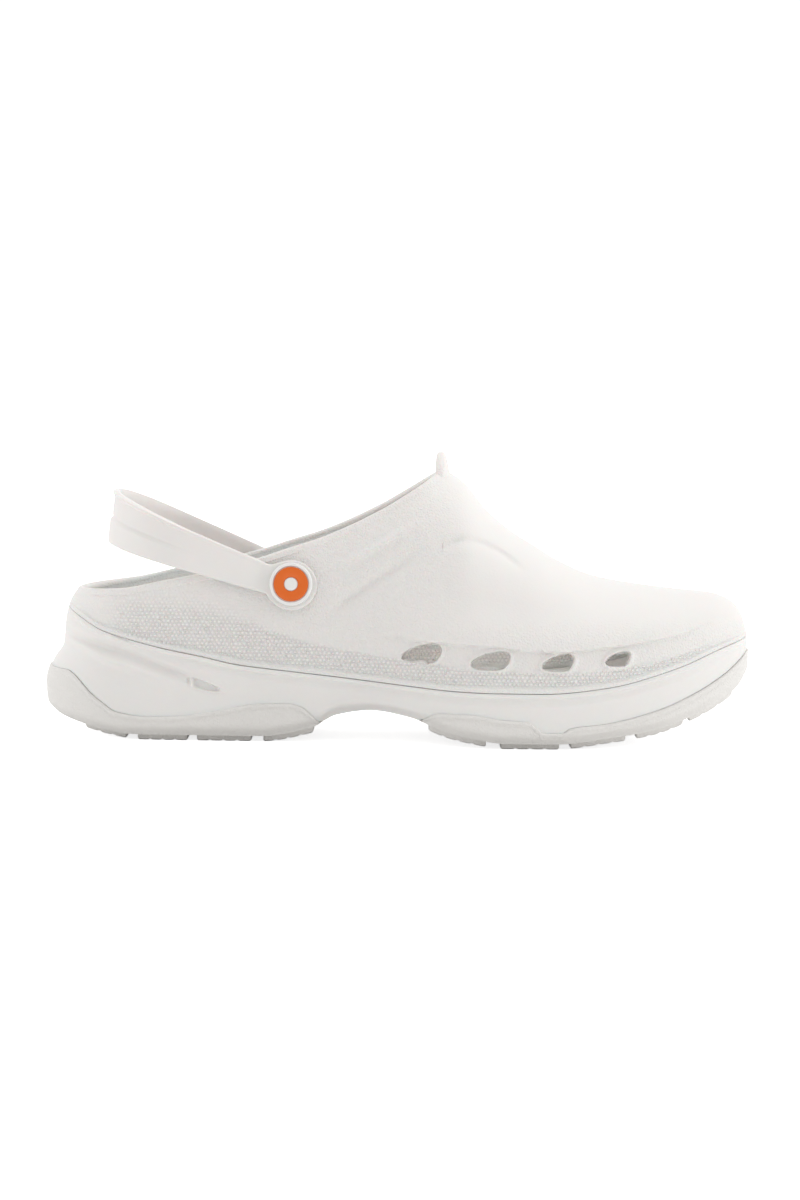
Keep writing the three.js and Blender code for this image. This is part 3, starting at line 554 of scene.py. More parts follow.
def build_tab():
    """Raised tab at the front of the collar."""
    columns = []
    for i in range(49):
        v = math.sin(math.pi / 2 * (i / 24 - 1))
        top = TAB_HEIGHT * math.sqrt(max(1 - abs(v) ** 2.6, 0))
        base = crest(TAB_X) - TAB_FALL * v * v
        foot, head = base - 2.6, base + top - 0.3
        half = TAB_THICKNESS / 2 * (0.7 + 0.3 * math.sqrt(max(1 - abs(v) ** 6, 0)))
        ring = [(-half, foot), (-half, base)]
        ring += [(-half * math.cos(a) - 0.4, head - half * 0.8 + half * 0.8 * math.sin(a))
                 for a in (math.pi * k / 10 for k in range(11))]
        ring += [(half, base), (half, foot), (0, foot), (-half, foot)]
        columns.append([place(TAB_X - TAB_SWEEP * v * v + dx - 0.2 * max(z - base, 0), TAB_HALF_WIDTH * v, z)
                        for dx, z in ring])
    tab = shaped_grid("instep_tab", columns)
    edit(tab)
    bpy.ops.mesh.remove_doubles(threshold=MERGE_DISTANCE)
    bpy.ops.mesh.select_all(action="DESELECT")
    bpy.ops.mesh.select_non_manifold()
    bpy.ops.mesh.edge_face_add()
    bpy.ops.mesh.select_all(action="SELECT")
    bpy.ops.mesh.normals_make_consistent(inside=False)
    object_mode()
    return tab


def build_upper():
    rows = [(x, row_heights(x)) for x in upper_stations()]
    outer = shaped_grid("upper_outer_half", [[upper_point(x, z, -1) for z in heights] for x, heights in rows])
    for vent in VENTS:
        vent_hole(outer, vent)
    inner = shaped_grid("upper_inner_half", [[upper_point(x, z, 1) for z in heights] for x, heights in rows])
    piece = join("clog_upper", outer, inner)
    close_up(piece)
    for slot in range(3):
        piece.data.materials.append(None)
    modify(piece, "SOLIDIFY", thickness=WALL * MM, offset=-1, use_even_offset=False, use_quality_normals=True,
           material_offset_rim=1)
    mark_rim(piece, at_collar, ((0.35, 0.55), (0.4, 0.3), (0.45, 0.12)), True)
    mark_rim(piece, at_vent, ((0.18, 0.14), (0.2, 0.05)), False)
    combine(piece, build_tab(), "UNION")
    return piece


def side_line(x, z, points, width, depth, start, end, fade):
    """A soft groove that follows a line on the sole's side between two stations."""
    return depth * bump(z - points(x), width) * between(x, start, end, fade)


HEEL_CREASE = curve({4: 51, 9.9: 48.2, 22.7: 43.5, 30.9: 40, 40: 37})
HEEL_TROUGH = curve({0: 42, 7: 40.3, 22.7: 36.9, 39.1: 32.4, 55.6: 27, 63: 24.6, 72: 22.6})
HEEL_RIDGE = curve({4: 38.8, 12.8: 36.7, 22.7: 32.8, 37.5: 29.2, 50: 25.2})
HEEL_EDGE = curve({0: 27.4, 9: 27.2, 13: 25.6, 16.9: 22.6, 20.5: 19, 25.1: 15.4, 30.9: 11.7, 42.4: 10.2,
                   55.6: 10.6, 72.1: 13, 88.6: 15.9, 100.9: 16.2, 106: 14.8, 110: 11.6, 114.6: 6.6})
FOREFOOT_EDGE = curve({152.6: 8.6, 154.5: 11.6, 160.7: 14.4, 173.1: 14.3, 185.4: 12.5, 196.5: 11.6,
                       199.5: 9.4, 202.5: 7.4, 209.5: 7.4, 213: 9.3, 227.8: 11.1, 248.5: 16.1,
                       262.5: 21.8, 276.1: 29.2, 287.2: 37.4})


def sole_low(x):
    return min(keel(x) + LUG_HEIGHT, welt(x) - 6)


def slot_shape(x, z):
    """Tear-drop slot at the front end of the heel's trough, with a thin rib across it."""
    u = (x - 65.8) / 7.2
    middle = 23.1 - 0.28 * (x - 65.8)
    v = (z - middle) / (1.75 * (1 - 0.25 * u))
    inside = smooth((1 - (abs(u) ** 2.4 + abs(v) ** 2.2)) / 0.5)
    rib = bump(x - 61.2, 0.8)
    ring = bump((abs(u) ** 2.4 + abs(v) ** 2.2) ** 0.45 - 1.15, 0.16) * smooth((x - 58) / 4)
    return 1.35 * inside * (1 - 1.4 * rib) - 0.5 * ring


def sole_relief(x, z):
    """How far the sole's side is set in from its outline."""
    low, high = sole_low(x), welt(x) - 0.1
    height = high - low
    up = z - low
    inset = 4.2 * (1 - smooth(up / min(5.5, height * 0.4))) ** 1.6
    top = high - z
    inset += 0.2 * smooth(1 - top / 0.5) - 0.35 * bump(top - 1.0, 0.5)
    inset += 0.5 * smooth((top - 1.1) / 0.7) * smooth(1 - (top - 2.6) / 2.2)
    inset += side_line(x, z, HEEL_CREASE, 1.0, 1.5, 6, 34, 14)
    inset += side_line(x, z, HEEL_TROUGH, 2.2, 2.4, -10, 60, 18)
    inset += side_line(x, z - 1.1, HEEL_TROUGH, 0.7, 0.6, 16, 62, 10)
    inset -= side_line(x, z, HEEL_RIDGE, 1.4, 1.2, 4, 44, 16)
    return inset + slot_shape(x, z)


def sole_point(x, z, side, grow=0, shift=0):
    width = half_width(x, side)
    taper = min(width / 18, 1)
    along = x + lean(x, z) + shift * (2 * x / SHOE_LENGTH - 1)
    return place(along, centre_line(x) + side * max(width - sole_relief(x, z) * taper + grow, 0), z)


def panel_edge(x):
    """Upper edge of the tread panel at a station, or None where the arch is bare."""
    if HEEL_ZONE[0] <= x <= HEEL_ZONE[1]:
        return HEEL_EDGE(x)
    if FOREFOOT_ZONE[0] <= x <= FOREFOOT_ZONE[1]:
        return FOREFOOT_EDGE(x)
    return None


def stretch_in(x):
    """Station of the cup's wall that goes with a station of the outside."""
    near, far = WALL + 1, SHOE_LENGTH - WALL - 2
    return near + x * (far - near) / SHOE_LENGTH


def cup_point(x, z, side, clear=0):
    width = min(max(half_width(x, side) - SOLE_LEDGE - WALL, 0), half_width(x, side) * 0.93) - clear
    at = stretch_in(x)
    return place(at + lean(at, z), centre_line(at) + side * max(width, 0), z)


def end_stations(start, end, count):
    return [start + (end - start) * (0.35 * t + 0.65 * (1 - math.cos(math.pi * t)) / 2)
            for t in (i / count for i in range(count + 1))]


def sole_stations():
    stations = set(end_stations(0, SHOE_LENGTH, SOLE_STATIONS))
    for edge in (HEEL_ZONE[1], FOREFOOT_ZONE[0]):
        stations = {x for x in stations if abs(x - edge) > 0.7}
        stations |= {edge - 0.32, edge - 0.3, edge + 0.3, edge + 0.32}
    stations |= {57 + 0.42 * k for k in range(40)}
    return sorted(stations)


def build_midsole():
    columns = []
    for x in sole_stations():
        low, high = sole_low(x), welt(x) + 0.25
        edge = panel_edge(x if x < 150 else x - 0.3) if panel_edge(x + 0.3) is None else panel_edge(x)
        recess = edge is not None
        start = max(edge + 0.02, low + 0.4) if recess else low
        core_low = low + min(3.3, (start - low) * 0.8)

        def half(side):
            back = -2.7 if recess else 0
            foot = start + 0.05
            core = start - core_low
            rows = [sole_point(x, core_low + core * k / 5, side, back, back * 0.6) for k in range(6)]
            rows += [sole_point(x, foot, side, back * share, back * 0.6 * share) for share in (0.5, 0)]
            rows += [sole_point(x, foot + (high - foot) * k / 58, side) for k in range(1, 59)]
            at = stretch_in(x)
            seat = bed(at) - INSOLE_THICKNESS - GAP
            rows += [cup_point(x, high + (seat - high) * k / 8, side, 0.15) for k in range(9)]
            return rows

        columns.append(half(-1) + half(1)[::-1] + [half(-1)[0]])
    piece = shaped_grid("clog_midsole", columns)
    close_up(piece)
    return piece


def panel_grow(drop):
    """How far the panel stands proud of the sole's side, by the distance under its upper edge."""
    lip = 0.85 * smooth((drop + 0.08) / 0.8)
    return lip - 0.55 * smooth((drop - 1.2) / 0.6) + 0.35 * smooth((drop - 2.2) / 0.9)


def build_panel(name, zone, lugs):
    start, end = max(zone[0], 0), min(zone[1], SHOE_LENGTH)
    stations = end_stations(start, end, PANEL_STATIONS)
    open_end = end if start == 0 else start
    stations = sorted([x for x in stations if abs(x - open_end) > 1.2]
                      + [abs(open_end - d * (1 if start == 0 else -1)) for d in (0, 0.12, 0.35, 0.7, 1.1)])
    shift = PANEL_PROUD * 0.9
    columns = []
    for x in stations:
        low, edge = sole_low(x), panel_edge(min(max(x, start + 0.01), end))
        edge = max(edge, low + 0.6)
        thin = min(1, 0.1 + abs(x - open_end) / 0.5)
        proud = 0.5 + 0.5 * smooth((x - 12) / 26)
        inner_low = low + min(3, (edge - low) * 0.7)
        drops = [0, 0.15, 0.35, 0.6, 0.9, 1.2, 1.5, 1.9, 2.3]
        height = edge - low
        drops = [d * min(1, height / 5) for d in drops]
        drops += [drops[-1] + (height - drops[-1]) * k / 22 for k in range(1, 23)]
        outer = {}
        inner = {}
        for side in (-1, 1):
            outer[side] = [sole_point(x, edge - d, side, panel_grow(d) * proud - (1 - thin) * 0.8, shift)
                           for d in drops]
            under = [sole_point(x, low, side, -0.6 - 2.5 * k, 0) for k in (1, 2, 3)]
            for point in under:
                point.z -= 0.02 * MM
            outer[side] += under
            inner[side] = [sole_point(x, max(edge - d, inner_low), side, -PANEL_THICKNESS * thin,
                                      -PANEL_THICKNESS * 0.6) for d in drops[::3]]
        columns.append(outer[-1] + outer[1][::-1] + inner[1] + inner[-1][::-1] + [outer[-1][0]])
    piece = shaped_grid(name, columns)
    close_up(piece, fill=True)
    parts = [piece] + [build_lug(*lug) for lug in lugs]
    return join(name, *parts)


def build_lug(start, end):
    """A tread lug with rounded edges and wavy grooves across its underside."""
    length = end - start
    bars = max(round(length / 5.5), 2)
    stations = [start, start + 0.15, start + 0.5] + [start + 0.9 + (length - 1.8) * k / 60 for k in range(61)]
    stations += [end - 0.5, end - 0.15, end]
    columns = []
    for x in stations:
        from_end = min(x - start, end - x)
        round_end = 0.5 * (1 - smooth(from_end / 0.6))
        low, top = keel(x) + 0.05, keel(x) + LUG_HEIGHT + 1.5
        side = {s: max(half_width(x, s) - LUG_INSET - round_end, 1) for s in (-1, 1)}
        bottom = []
        for k in range(61):
            v = -1 + k / 30
            reach = side[-1] if v < 0 else side[1]
            y = v * reach
            wave = x + 1.1 * math.sin(y / 5.5) * (1 - abs(v) ** 8)
            phase = (wave - start) / length * bars
            cut = bump((phase - round(phase)) * length / bars, 0.75) * (1 - abs(v) ** 10)
            depth = 0 if round(phase) in (0, bars) else 1.3 * cut
            rounding = 0.5 * (reach - abs(y) < 0.6) + round_end
            bottom.append(place(x + lean(x, low), centre_line(x) + y, low + depth + rounding))
        ends = {s: place(x + lean(x, low), centre_line(x) + s * side[s], top) for s in (-1, 1)}
        walls = {s: place(x + lean(x, low), centre_line(x) + s * side[s], low + 0.8) for s in (-1, 1)}
        columns.append([ends[-1], walls[-1]] + bottom + [walls[1], ends[1], ends[-1]])
    lug = shaped_grid("lug", columns)
    close_up(lug, fill=True)
    return lug


def build_insole():
    columns = []
    for x in end_stations(0, SHOE_LENGTH, BED_STATIONS):
        at = stretch_in(x)
        top = bed(at)
        fore = smooth((x - 110) / 60)
        row = []
        for k in range(49):
            v = math.sin(math.pi / 2 * (k / 24 - 1))
            dish = (3.2 - 1.9 * fore) * abs(v) ** (5 + 3 * fore)
            arch = 2.4 * smooth((v - 0.1) / 0.9) * between(x, 95, 160, 50)
            edge_round = 0.9 * max(0, abs(v) - 0.985) / 0.015
            left, right = cup_point(x, top, -1, 0.6), cup_point(x, top, 1, 0.6)
            point = left.lerp(right, (v + 1) / 2)
            point.z = (top - 1 + dish + arch - edge_round) * MM
            row.append(point)
        seat = (bed(at) - INSOLE_THICKNESS) * MM
        low = [row[-1].copy(), row[0].copy()]
        for point in low:
            point.z = seat
        columns.append(row + low + [row[0]])
    piece = shaped_grid("clog_footbed", columns)
    close_up(piece)
    return piece


def wall_seat(x, z, side):
    """Place on the upper's plain outer face, and the direction out of the wall there."""
    station = x - lean(x, z)

    def at(u, w):
        return Vector((u + lean(u, w), centre_line(u) + side * arch_width(u, w, side), w))

    along, up = at(station + 1, z) - at(station - 1, z), at(station, z + 1) - at(station, z - 1)
    out = along.cross(up).normalized()
    if out.y * side < 0:
        out.negate()
    return at(station, z), out


def strap_edges(x):
    share = (PIVOT[0] - x) / (PIVOT[0] - BACK_X)
    middle = PIVOT[1] - 1 + (STRAP_BACK_Z - PIVOT[1] + 1) * share
    half = (STRAP_SIDE_WIDTH + (STRAP_BACK_WIDTH - STRAP_SIDE_WIDTH) * share) / 2
    return middle - half, middle + half


def strap_span(x):
    """Lower and upper edge of the strap, with its eye run into the band by soft fillets."""
    low, high = strap_edges(x)
    away = abs(x - PIVOT[0])
    eye = math.sqrt(EYE_RADIUS ** 2 - away ** 2) if away < EYE_RADIUS else (EYE_RADIUS - away) * 1.6
    if x > PIVOT[0]:
        return PIVOT[1] - eye, PIVOT[1] + eye

    def blend(a, b, size):
        h = max(size - abs(a - b), 0) / size
        return max(a, b) + h * h * size / 4

    return (-blend(-low, -(PIVOT[1] - eye), 5) if eye > -12 else low,
            blend(high, PIVOT[1] + eye, 5) if eye > -12 else high)


def build_strap():
    seats = {side: wall_seat(*PIVOT, side) for side in (-1, 1)}
    thick = STRAP_THICKNESS / 2

    def wall(x, z, side):
        point, out = wall_seat(x, min(z, rim(x)), side)
        clear = GAP + 0.9 * smooth((PIVOT[0] - EYE_RADIUS - x) / EYE_RADIUS)
        lying = point.y + side * (clear + thick) / abs(out.y)
        centre, axis = seats[side]
        flat = centre.y + (EYE_SEAT + thick - axis.x * (x - centre.x) - axis.z * (z - centre.z)) / axis.y
        share = smooth((x - PIVOT[0] + 17) / 9)
        return lying + (flat - lying) * share

    def beside(x, side):
        low, high = strap_span(x)
        bottom, top = wall(x, low, side), wall(x, high, side)
        bulge = side * max(side * (wall(x, (low + high) / 2, side) - (bottom + top) / 2), 0)
        return Vector((x, bottom + bulge, low)), Vector((x, top + bulge, high))

    def behind(angle, side):
        share, across = math.sin(angle) ** (2 / STRAP_BEND), max(math.cos(angle), 0) ** (2 / STRAP_BEND)
        x = TURN_X - (TURN_X - BACK_X) * share
        low_from, high_from = beside(TURN_X, side)
        low, high = strap_span(x)
        top = Vector((x + STRAP_LEAN * share, high_from.y * across, high))
        return Vector((x, low_from.y * across, low)), top

    def half(side):
        front = PIVOT[0] + EYE_RADIUS
        rows = [beside(front - EYE_RADIUS * (1 - math.cos(math.pi * i / 60)), side) for i in range(46)]
        last = rows[-1][0].x
        rows += [beside(last + (TURN_X - last) * i / 34, side) for i in range(1, 34)]
        return rows + [behind(math.pi / 2 * i / 60, side) for i in range(61)]

    run = half(-1) + half(1)[:-1][::-1]
    columns = []
    for i, (low, high) in enumerate(run):
        before, after = run[max(i - 1, 0)], run[min(i + 1, len(run) - 1)]
        along = after[0] + after[1] - before[0] - before[1]
        along.z = 0
        along.normalize()
        rise = high - low
        reach = rise.length / 2
        up = rise.normalized() if reach > 0.01 else Vector((0, 0, 1))
        out = up.cross(along).normalized()
        base = (low + high) / 2
        fade = 1 - smooth((base.x - 44) / 22)
        border = 1 - smooth((base.x - 84) / 8)
        edge = min(0.9, reach * 0.6)
        ring = []
        for k in range(41):
            share = k / 40
            height = -reach + 2 * reach * share
            top, bottom = reach - height, height + reach
            face = thick + 0.35 * border * smooth(1 - (top - 1.3) / 0.6)
            face -= 0.45 * fade * smooth((top - 1.3) / 0.5) * smooth((height + 0.4) / 0.7)
            face += 0.4 * fade * smooth((-height - 0.5) / 0.9) - 0.35 * fade * bump(height + 0.1, 0.7)
            near = min(top, bottom)
            if near < edge:
                face -= edge * (1 - math.sqrt(max(1 - (1 - near / edge) ** 2, 0)))
            ring.append((face, height))
        for k in range(11):
            height = reach - 2 * reach * k / 10
            near = min(reach - height, reach + height)
            ring.append((-thick + (edge * (1 - near / edge) ** 2 if near < edge else 0), height))
        ring.append(ring[0])
        columns.append([place(*(base + out * o + up * u)) for o, u in ring])
    piece = shaped_grid("clog_heel_strap", columns)
    close_up(piece)
    return piece


def turned(name, profile, side, steps=96):
    """A round piece on a rivet's axis, from radius and distance out from the wall."""
    centre, out = wall_seat(*PIVOT, side)
    turn = Vector((0, 0, 1)).rotation_difference(out)
    columns = []
    for i in range(steps + 1):
        angle = 2 * math.pi * i / steps
        columns.append([place(*(centre + turn @ Vector((r * math.cos(angle), r * math.sin(angle), d))))
                        for r, d in profile])
    piece = shaped_grid(name, columns)
    close_up(piece)
    return piece


def build_rivet(name, side):
    """Inner head, stem and button, with a round channel in the button's face for the ring."""
    top = FACE + BUTTON_HEIGHT
    profile = [(0, -6.5), (6.4, -6.5), (7.1, -6.2), (7.5, -5.6), (7.5, -4.9), (7.2, -4.5)]
    profile += [(STEM_RADIUS, -4.5), (STEM_RADIUS, FACE), (BUTTON_RADIUS - 0.35, FACE),
                (BUTTON_RADIUS, FACE + 0.3), (BUTTON_RADIUS, FACE + 1.4)]
    for k in range(7):
        angle = math.pi / 2 * k / 6
        profile.append((BUTTON_RADIUS - BUTTON_ROUND + BUTTON_ROUND * math.cos(angle),
                        top - BUTTON_ROUND + BUTTON_ROUND * math.sin(angle)))
    profile += [(7.6, top), (7.35, top - 0.12), (7.25, top - 0.6), (7.1, top - 0.75), (6.95, top - 0.75),
                (2.75, top - 0.75), (2.65, top - 0.3), (2.4, top - 0.08), (1.6, top), (0, top + 0.04)]
    return turned(name, profile, side)


def build_ring(name, side):
    top = FACE + BUTTON_HEIGHT
    profile = [(2.8, top - 0.72), (6.9, top - 0.72), (6.9, top - 0.3), (6.75, top - 0.12), (6.5, top - 0.06),
               (3.1, top - 0.06), (2.9, top - 0.15), (2.8, top - 0.3), (2.8, top - 0.72)]
    return turned(name, profile, side)


def stem_hole(piece, side, depth=10):
    radius = STEM_RADIUS + GAP
    cutter = turned("stem_hole", [(0, -depth), (radius, -depth), (radius, depth), (0, depth)], side, 48)
    combine(piece, cutter, "DIFFERENCE")


upper = build_upper()
midsole = build_midsole()
heel_panel = build_panel("heel_tread", HEEL_ZONE, HEEL_LUGS)
forefoot_panel = build_panel("forefoot_tread", FOREFOOT_ZONE, FOREFOOT_LUGS)
footbed = build_insole()
strap = build_strap()
for side in (-1, 1):
    stem_hole(upper, side)
    stem_hole(strap, side)
buttons = [build_rivet("rivet_button_outer", -1), build_rivet("rivet_button_inner", 1)]
rings = [build_ring("button_ring_outer", -1), build_ring("button_ring_inner", 1)]


# Materials
def node_group(name, inputs, outputs):
    tree = bpy.data.node_groups.new(name, "ShaderNodeTree")
    for key, kind, value in inputs:
        socket = tree.interface.new_socket(name=key, in_out="INPUT", socket_type="NodeSocket" + kind)
        if value is not None:
            socket.default_value = value
    for key, kind in outputs:
        tree.interface.new_socket(name=key, in_out="OUTPUT", socket_type="NodeSocket" + kind)
    return tree, tree.nodes.new("NodeGroupInput"), tree.nodes.new("NodeGroupOutput")


def wire(tree, kind, settings=None, **inputs):
    """Adds a shader node; inputs are values or output sockets."""
    node = tree.nodes.new("ShaderNode" + kind)
    for key, value in (settings or {}).items():
        setattr(node, key, value)
    for key, value in inputs.items():
        name = key.replace("_", " ")
        socket = node.inputs[int(key[1:])] if key[0] == "i" and key[1:].isdigit() else node.inputs[name]
        if isinstance(value, bpy.types.NodeSocket):
            tree.links.new(value, socket)
        else:
            socket.default_value = value
    return node


def maths(tree, operation, a, b=0.0):
    return wire(tree, "Math", {"operation": operation}, i0=a, i1=b).outputs[0]


def grain_group():
    """Fine moulded grain: cells like leather with a little noise over them."""
    tree, start, end = node_group("fine_grain", (("Scale", "Float", 900.0),),
                                  (("Height", "Float"), ("Tone", "Float")))
    where = wire(tree, "TexCoord").outputs["Object"]
    scale = start.outputs["Scale"]
    cells = wire(tree, "TexVoronoi", {"feature": "SMOOTH_F1"}, Vector=where, Scale=scale, Smoothness=0.6)
    fine = wire(tree, "TexNoise", None, Vector=where, Scale=scale, Detail=2.0)
    broad = wire(tree, "TexNoise", None, Vector=where, Scale=22.0, Detail=2.0)
    coarse_part = maths(tree, "MULTIPLY", cells.outputs["Distance"], 0.8)
    fine_part = maths(tree, "MULTIPLY", fine.outputs["Fac"], 0.35)
    tree.links.new(maths(tree, "ADD", coarse_part, fine_part), end.inputs["Height"])
    tree.links.new(broad.outputs["Fac"], end.inputs["Tone"])
    return tree


def dots_group():
    """Small raised dots in a honeycomb, 1.7 mm apart, on the side faces in x and z."""
    root_3 = math.sqrt(3)
    tree, start, end = node_group("honeycomb_dots", (("Pitch", "Float", 0.0017),), (("Height", "Float"),))
    where = wire(tree, "SeparateXYZ", None, Vector=wire(tree, "TexCoord").outputs["Object"])
    pitch = start.outputs["Pitch"]
    across = maths(tree, "DIVIDE", where.outputs["X"], pitch)
    down = maths(tree, "DIVIDE", where.outputs["Z"], maths(tree, "MULTIPLY", pitch, root_3))
    nearest = None
    for offset in (0.0, 0.5):
        parts = []
        for value, size in ((across, 1.0), (down, root_3)):
            cell = maths(tree, "SUBTRACT", maths(tree, "FRACT", maths(tree, "ADD", value, offset + 100)), 0.5)
            part = maths(tree, "MULTIPLY", cell, size)
            parts.append(maths(tree, "MULTIPLY", part, part))
        squared = maths(tree, "ADD", parts[0], parts[1])
        nearest = squared if nearest is None else maths(tree, "MINIMUM", nearest, squared)
    away = maths(tree, "SQRT", nearest)
    dot = wire(tree, "MapRange", {"interpolation_type": "SMOOTHSTEP"}, Value=away)
    dot.inputs["From Min"].default_value = 0.42
    dot.inputs["From Max"].default_value = 0.18
    tree.links.new(dot.outputs["Result"], end.inputs["Height"])
    return tree


GRAIN, DOTS = grain_group(), dots_group()


def add_bump(tree, height, strength, distance, below):
    """A bump over the one below it, if there is one; returns its normal."""
    bumps = wire(tree, "Bump", None, Strength=strength, Distance=distance)
    tree.links.new(height, bumps.inputs["Height"])
    if below is not None:
        tree.links.new(below, bumps.inputs["Normal"])
    return bumps.outputs[0]


def material(name, colour, roughness, coat=0.0, subsurface=0.0, grain=0.0, scale=900.0, dots=False,
             dimples=0.0, tone=0.03):
    """A moulded finish: grain, dimples and dots are bumps over each other, tone varies the colour, and in the
    dotted band the colour carries painted shade between the dots and a painted highlight on them.
    """
    made = bpy.data.materials.new(name)
    made.use_nodes = True
    tree = made.node_tree
    shader = tree.nodes["Principled BSDF"]
    shader.inputs["Roughness"].default_value = roughness
    shader.inputs["Coat Weight"].default_value = coat
    shader.inputs["Coat Roughness"].default_value = 0.2
    if subsurface:
        shader.inputs["Subsurface Weight"].default_value = subsurface
        shader.inputs["Subsurface Scale"].default_value = 0.004
    group = tree.nodes.new("ShaderNodeGroup")
    group.node_tree = GRAIN
    group.inputs["Scale"].default_value = scale
    mix = wire(tree, "Mix", {"data_type": "RGBA"})
    mix.inputs[6].default_value = (*[c * (1 - tone) for c in colour], 1)
    mix.inputs[7].default_value = (*[min(c * (1 + tone), 1) for c in colour], 1)
    tree.links.new(group.outputs["Tone"], mix.inputs[0])
    tree.links.new(mix.outputs[2], shader.inputs["Base Color"])
    normal = None
    if grain:
        height = group.outputs["Height"]
        if dots:
            grained = wire(tree, "Attribute", {"attribute_name": "grained"})
            height = maths(tree, "MULTIPLY", height, grained.outputs["Fac"])
        normal = add_bump(tree, height, grain, 0.0004, normal)
    if dimples:
        where = wire(tree, "TexCoord").outputs["Object"]
        cells = wire(tree, "TexVoronoi", {"feature": "F1"}, Vector=where, Scale=220.0, Randomness=0.1)
        normal = add_bump(tree, cells.outputs["Distance"], dimples, 0.0008, normal)
    if dots:
        dot = tree.nodes.new("ShaderNodeGroup")
        dot.node_tree = DOTS
        mask = wire(tree, "Attribute", {"attribute_name": "dotted"}).outputs["Fac"]
        raised = dot.outputs["Height"]
        normal = add_bump(tree, maths(tree, "MULTIPLY", raised, mask), 0.9, 0.00035, normal)
        # Painted shade and painted highlight: the base colour is darkened between the dots and lightened on
        # them, wherever the dotted mask is set.
        dot_gap_shade = maths(tree, "SUBTRACT", 0.08, maths(tree, "MULTIPLY", raised, 0.17))
        shade = maths(tree, "SUBTRACT", 1.0, maths(tree, "MULTIPLY", mask, dot_gap_shade))
        dot_shaded_colour = wire(tree, "VectorMath", {"operation": "SCALE"}, i0=mix.outputs[2], Scale=shade)
        tree.links.new(dot_shaded_colour.outputs[0], shader.inputs["Base Color"])
    if normal is not None:
        tree.links.new(normal, shader.inputs["Normal"])
    return made


WHITE = (0.83, 0.81, 0.785)
upper_foam = material("upper_foam_white", WHITE, 0.5, grain=0.9, scale=1250.0, dots=True, subsurface=0.15)
sole_foam = material("sole_foam_white", WHITE, 0.5, grain=0.2, subsurface=0.15)
tread_rubber = material("tread_rubber_white", (0.8, 0.78, 0.75), 0.62, grain=0.8, scale=1500.0)
footbed_foam = material("footbed_foam_white", (0.8, 0.785, 0.76), 0.7, grain=0.3, dimples=0.6)
strap_foam = material("strap_foam_white", WHITE, 0.42, grain=0.12, subsurface=0.15)
rivet_plastic = material("rivet_plastic_white", (0.86, 0.85, 0.83), 0.22, coat=0.3, tone=0.01)
ring_plastic = material("ring_plastic_orange", (0.78, 0.14, 0.006), 0.35, coat=0.2, tone=0.03)


def dress(piece, look, slot, *nodes):
    """Gives a piece its material and shading, and lets it ride in place of its CAD node."""
    piece.data.materials.clear()
    piece.data.materials.append(look)
    for face in piece.data.polygons:
        face.material_index = 0
    take(piece)
    bpy.ops.object.shade_smooth_by_angle(angle=math.radians(SMOOTH_ANGLE))
    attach(piece, "root")
    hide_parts(*nodes)


def grain_amount(x, z):
    """Full grain on the sides and behind, and little on top of the vamp and toe."""
    return 1 - 0.8 * smooth((x - 150) / 30) * smooth((z - 44) / 10)


def dots_amount(x, z):
    """Where the honeycomb dots, with their painted shade and painted highlight, show: the band over the bead,
    wider and fading at the heel.
    """
    heel = 1 - smooth((x - 55) / 60)
    top = BAND_LINE(x) + (56 - BAND_LINE(x)) * heel
    inside = smooth((top - z) / (0.6 + 13 * heel) + 0.5 * heel) * smooth((z - welt(x) - 2.7) / 0.5)
    return inside * smooth((x - 22) / 18) * (1 - smooth((x - 262) / 14))


def paint(piece, name, amount):
    """Writes an amount worked out from x and z to a point attribute of the mesh."""
    values = piece.data.attributes.new(name, "FLOAT", "POINT").data
    for vertex, value in zip(piece.data.vertices, values):
        x, _, z = local(vertex.co)
        value.value = amount(x, z)


paint(upper, "grained", grain_amount)
paint(upper, "dotted", dots_amount)
dress(upper, upper_foam, "upper_foam", "upper")
dress(midsole, sole_foam, "sole_foam", "midsole")
dress(heel_panel, tread_rubber, "tread_rubber", "outsole_heel")
dress(forefoot_panel, tread_rubber, "tread_rubber", "outsole_forefoot")
dress(footbed, footbed_foam, "footbed_foam", "insole")
dress(strap, strap_foam, "strap_foam", "heel_strap")
dress(buttons[0], rivet_plastic, "rivet_plastic", "rivet_lateral")
dress(buttons[1], rivet_plastic, "rivet_plastic", "rivet_medial")
dress(rings[0], ring_plastic, "ring_plastic", "rivet_ring_lateral")
dress(rings[1], ring_plastic, "ring_plastic", "rivet_ring_medial")

# Floor, light and camera
bpy.ops.object.select_all(action="DESELECT")
bpy.ops.mesh.primitive_plane_add(size=120, location=(0, 0, 0))
floor = bpy.context.object
floor.name = "floor"
floor_look = bpy.data.materials.new("floor_pale")
floor_look.use_nodes = True
floor_shader = floor_look.node_tree.nodes["Principled BSDF"]
floor_shader.inputs["Base Color"].default_value = (0.97, 0.97, 0.97, 1)
floor_shader.inputs["Roughness"].default_value = 0.9
floor_shader.inputs["Specular IOR Level"].default_value = 0.1
floor_shader.inputs["Emission Color"].default_value = (1, 1, 1, 1)
lit = wire(floor_look.node_tree, "MapRange", None,
           Value=floor_look.node_tree.nodes.new("ShaderNodeLightPath").outputs["Is Camera Ray"])
lit.inputs["To Max"].default_value = 0.8
floor_look.node_tree.links.new(lit.outputs["Result"], floor_shader.inputs["Emission Strength"])
floor.data.materials.append(floor_look)

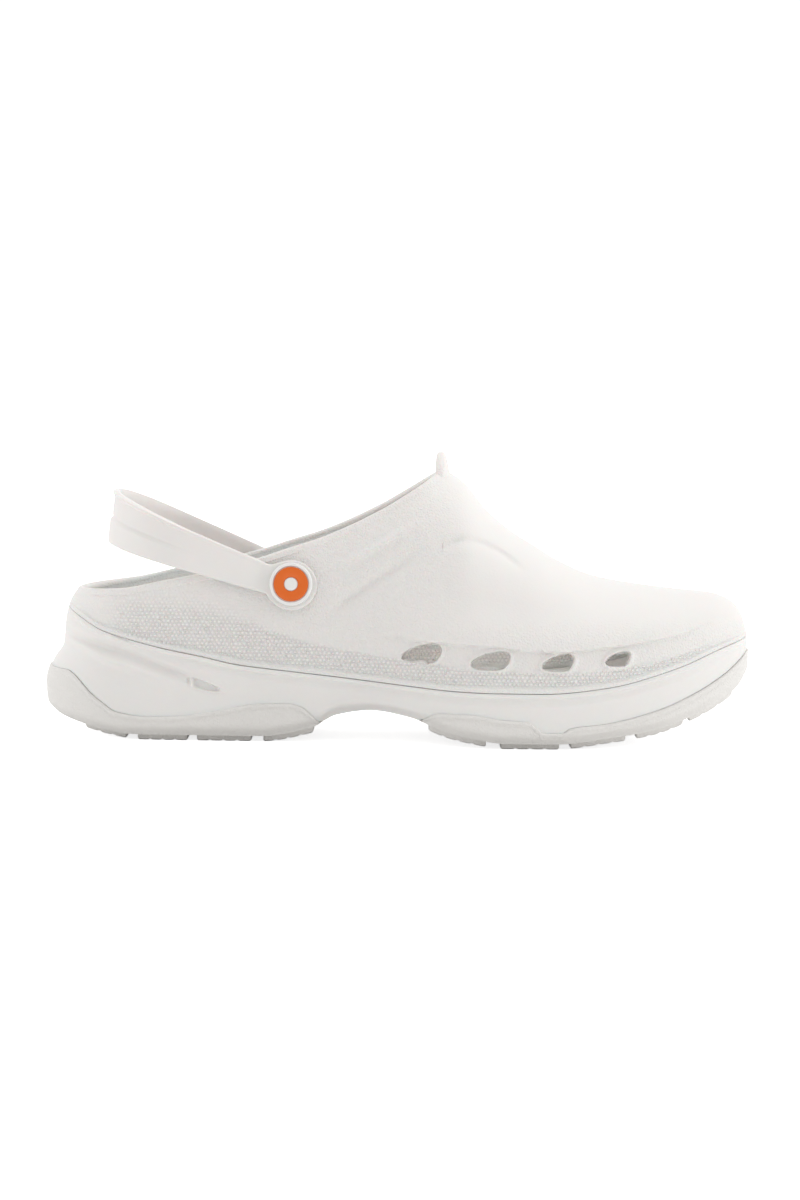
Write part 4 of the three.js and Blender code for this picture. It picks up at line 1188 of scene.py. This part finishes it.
# Pale studio round the shoe, dimmer on the near side, and plain white where the camera sees it
world = bpy.data.worlds.new("studio")
bpy.context.scene.world = world
world.use_nodes = True
sky = world.node_tree
background = sky.nodes["Background"]
path = sky.nodes.new("ShaderNodeLightPath")
around = wire(sky, "SeparateXYZ", None, Vector=wire(sky, "TexCoord").outputs["Generated"])
glow = wire(sky, "MapRange", {"interpolation_type": "SMOOTHSTEP"}, Value=around.outputs["Y"])
for key, value in (("From Min", -1), ("From Max", 0.2), ("To Min", 0.52), ("To Max", 1.08)):
    glow.inputs[key].default_value = value
shown = maths(sky, "MAXIMUM", glow.outputs["Result"], path.outputs["Is Camera Ray"])
sky.links.new(shown, background.inputs["Strength"])
background.inputs["Color"].default_value = (1, 1, 1, 1)


def area_light(name, place_at, size, power, aim=(0, 0, 0.05)):
    data = bpy.data.lights.new(name, "AREA")
    data.shape = "RECTANGLE"
    data.size, data.size_y = size
    data.energy = power
    light = bpy.data.objects.new(name, data)
    bpy.context.scene.collection.objects.link(light)
    light.location = place_at
    light.rotation_mode = "QUATERNION"
    light.rotation_quaternion = (Vector(aim) - Vector(place_at)).to_track_quat("-Z", "Y")
    return light


area_light("overhead_softbox", (0.15, 0.25, 1.5), (1.6, 1.2), 3.5)
area_light("toe_softbox", (1.5, -0.5, 0.7), (1.0, 1.0), 5.4)
area_light("heel_softbox", (-1.5, -0.4, 0.6), (1.0, 1.0), 1.8)

# Light that foam lets through to the inside of the toe
glow_data = bpy.data.lights.new("inner_glow", "POINT")
glow_data.energy = 0.016
glow_data.shadow_soft_size = 0.012
inner_glow = bpy.data.objects.new("inner_glow", glow_data)
inner_glow.location = (0.045, 0.0, 0.042)
bpy.context.scene.collection.objects.link(inner_glow)

# Camera a little over the floor, rolled by a degree, at the outer side
target = Vector((0.0001, 0, 0.0554))
elevation, roll, distance = math.radians(4.5), math.radians(0.95), 1.373
camera_data = bpy.data.cameras.new("camera")
camera_data.lens = 100
camera_data.clip_start = 0.01
camera = bpy.data.objects.new("camera", camera_data)
bpy.context.scene.collection.objects.link(camera)
toward = Vector((0, math.cos(elevation), -math.sin(elevation)))
camera.location = target - toward * distance
camera.rotation_mode = "QUATERNION"
camera.rotation_quaternion = toward.to_track_quat("-Z", "Y") @ Quaternion((0, 0, 1), roll)
bpy.context.scene.camera = camera
bpy.context.scene.view_settings.view_transform = "Standard"
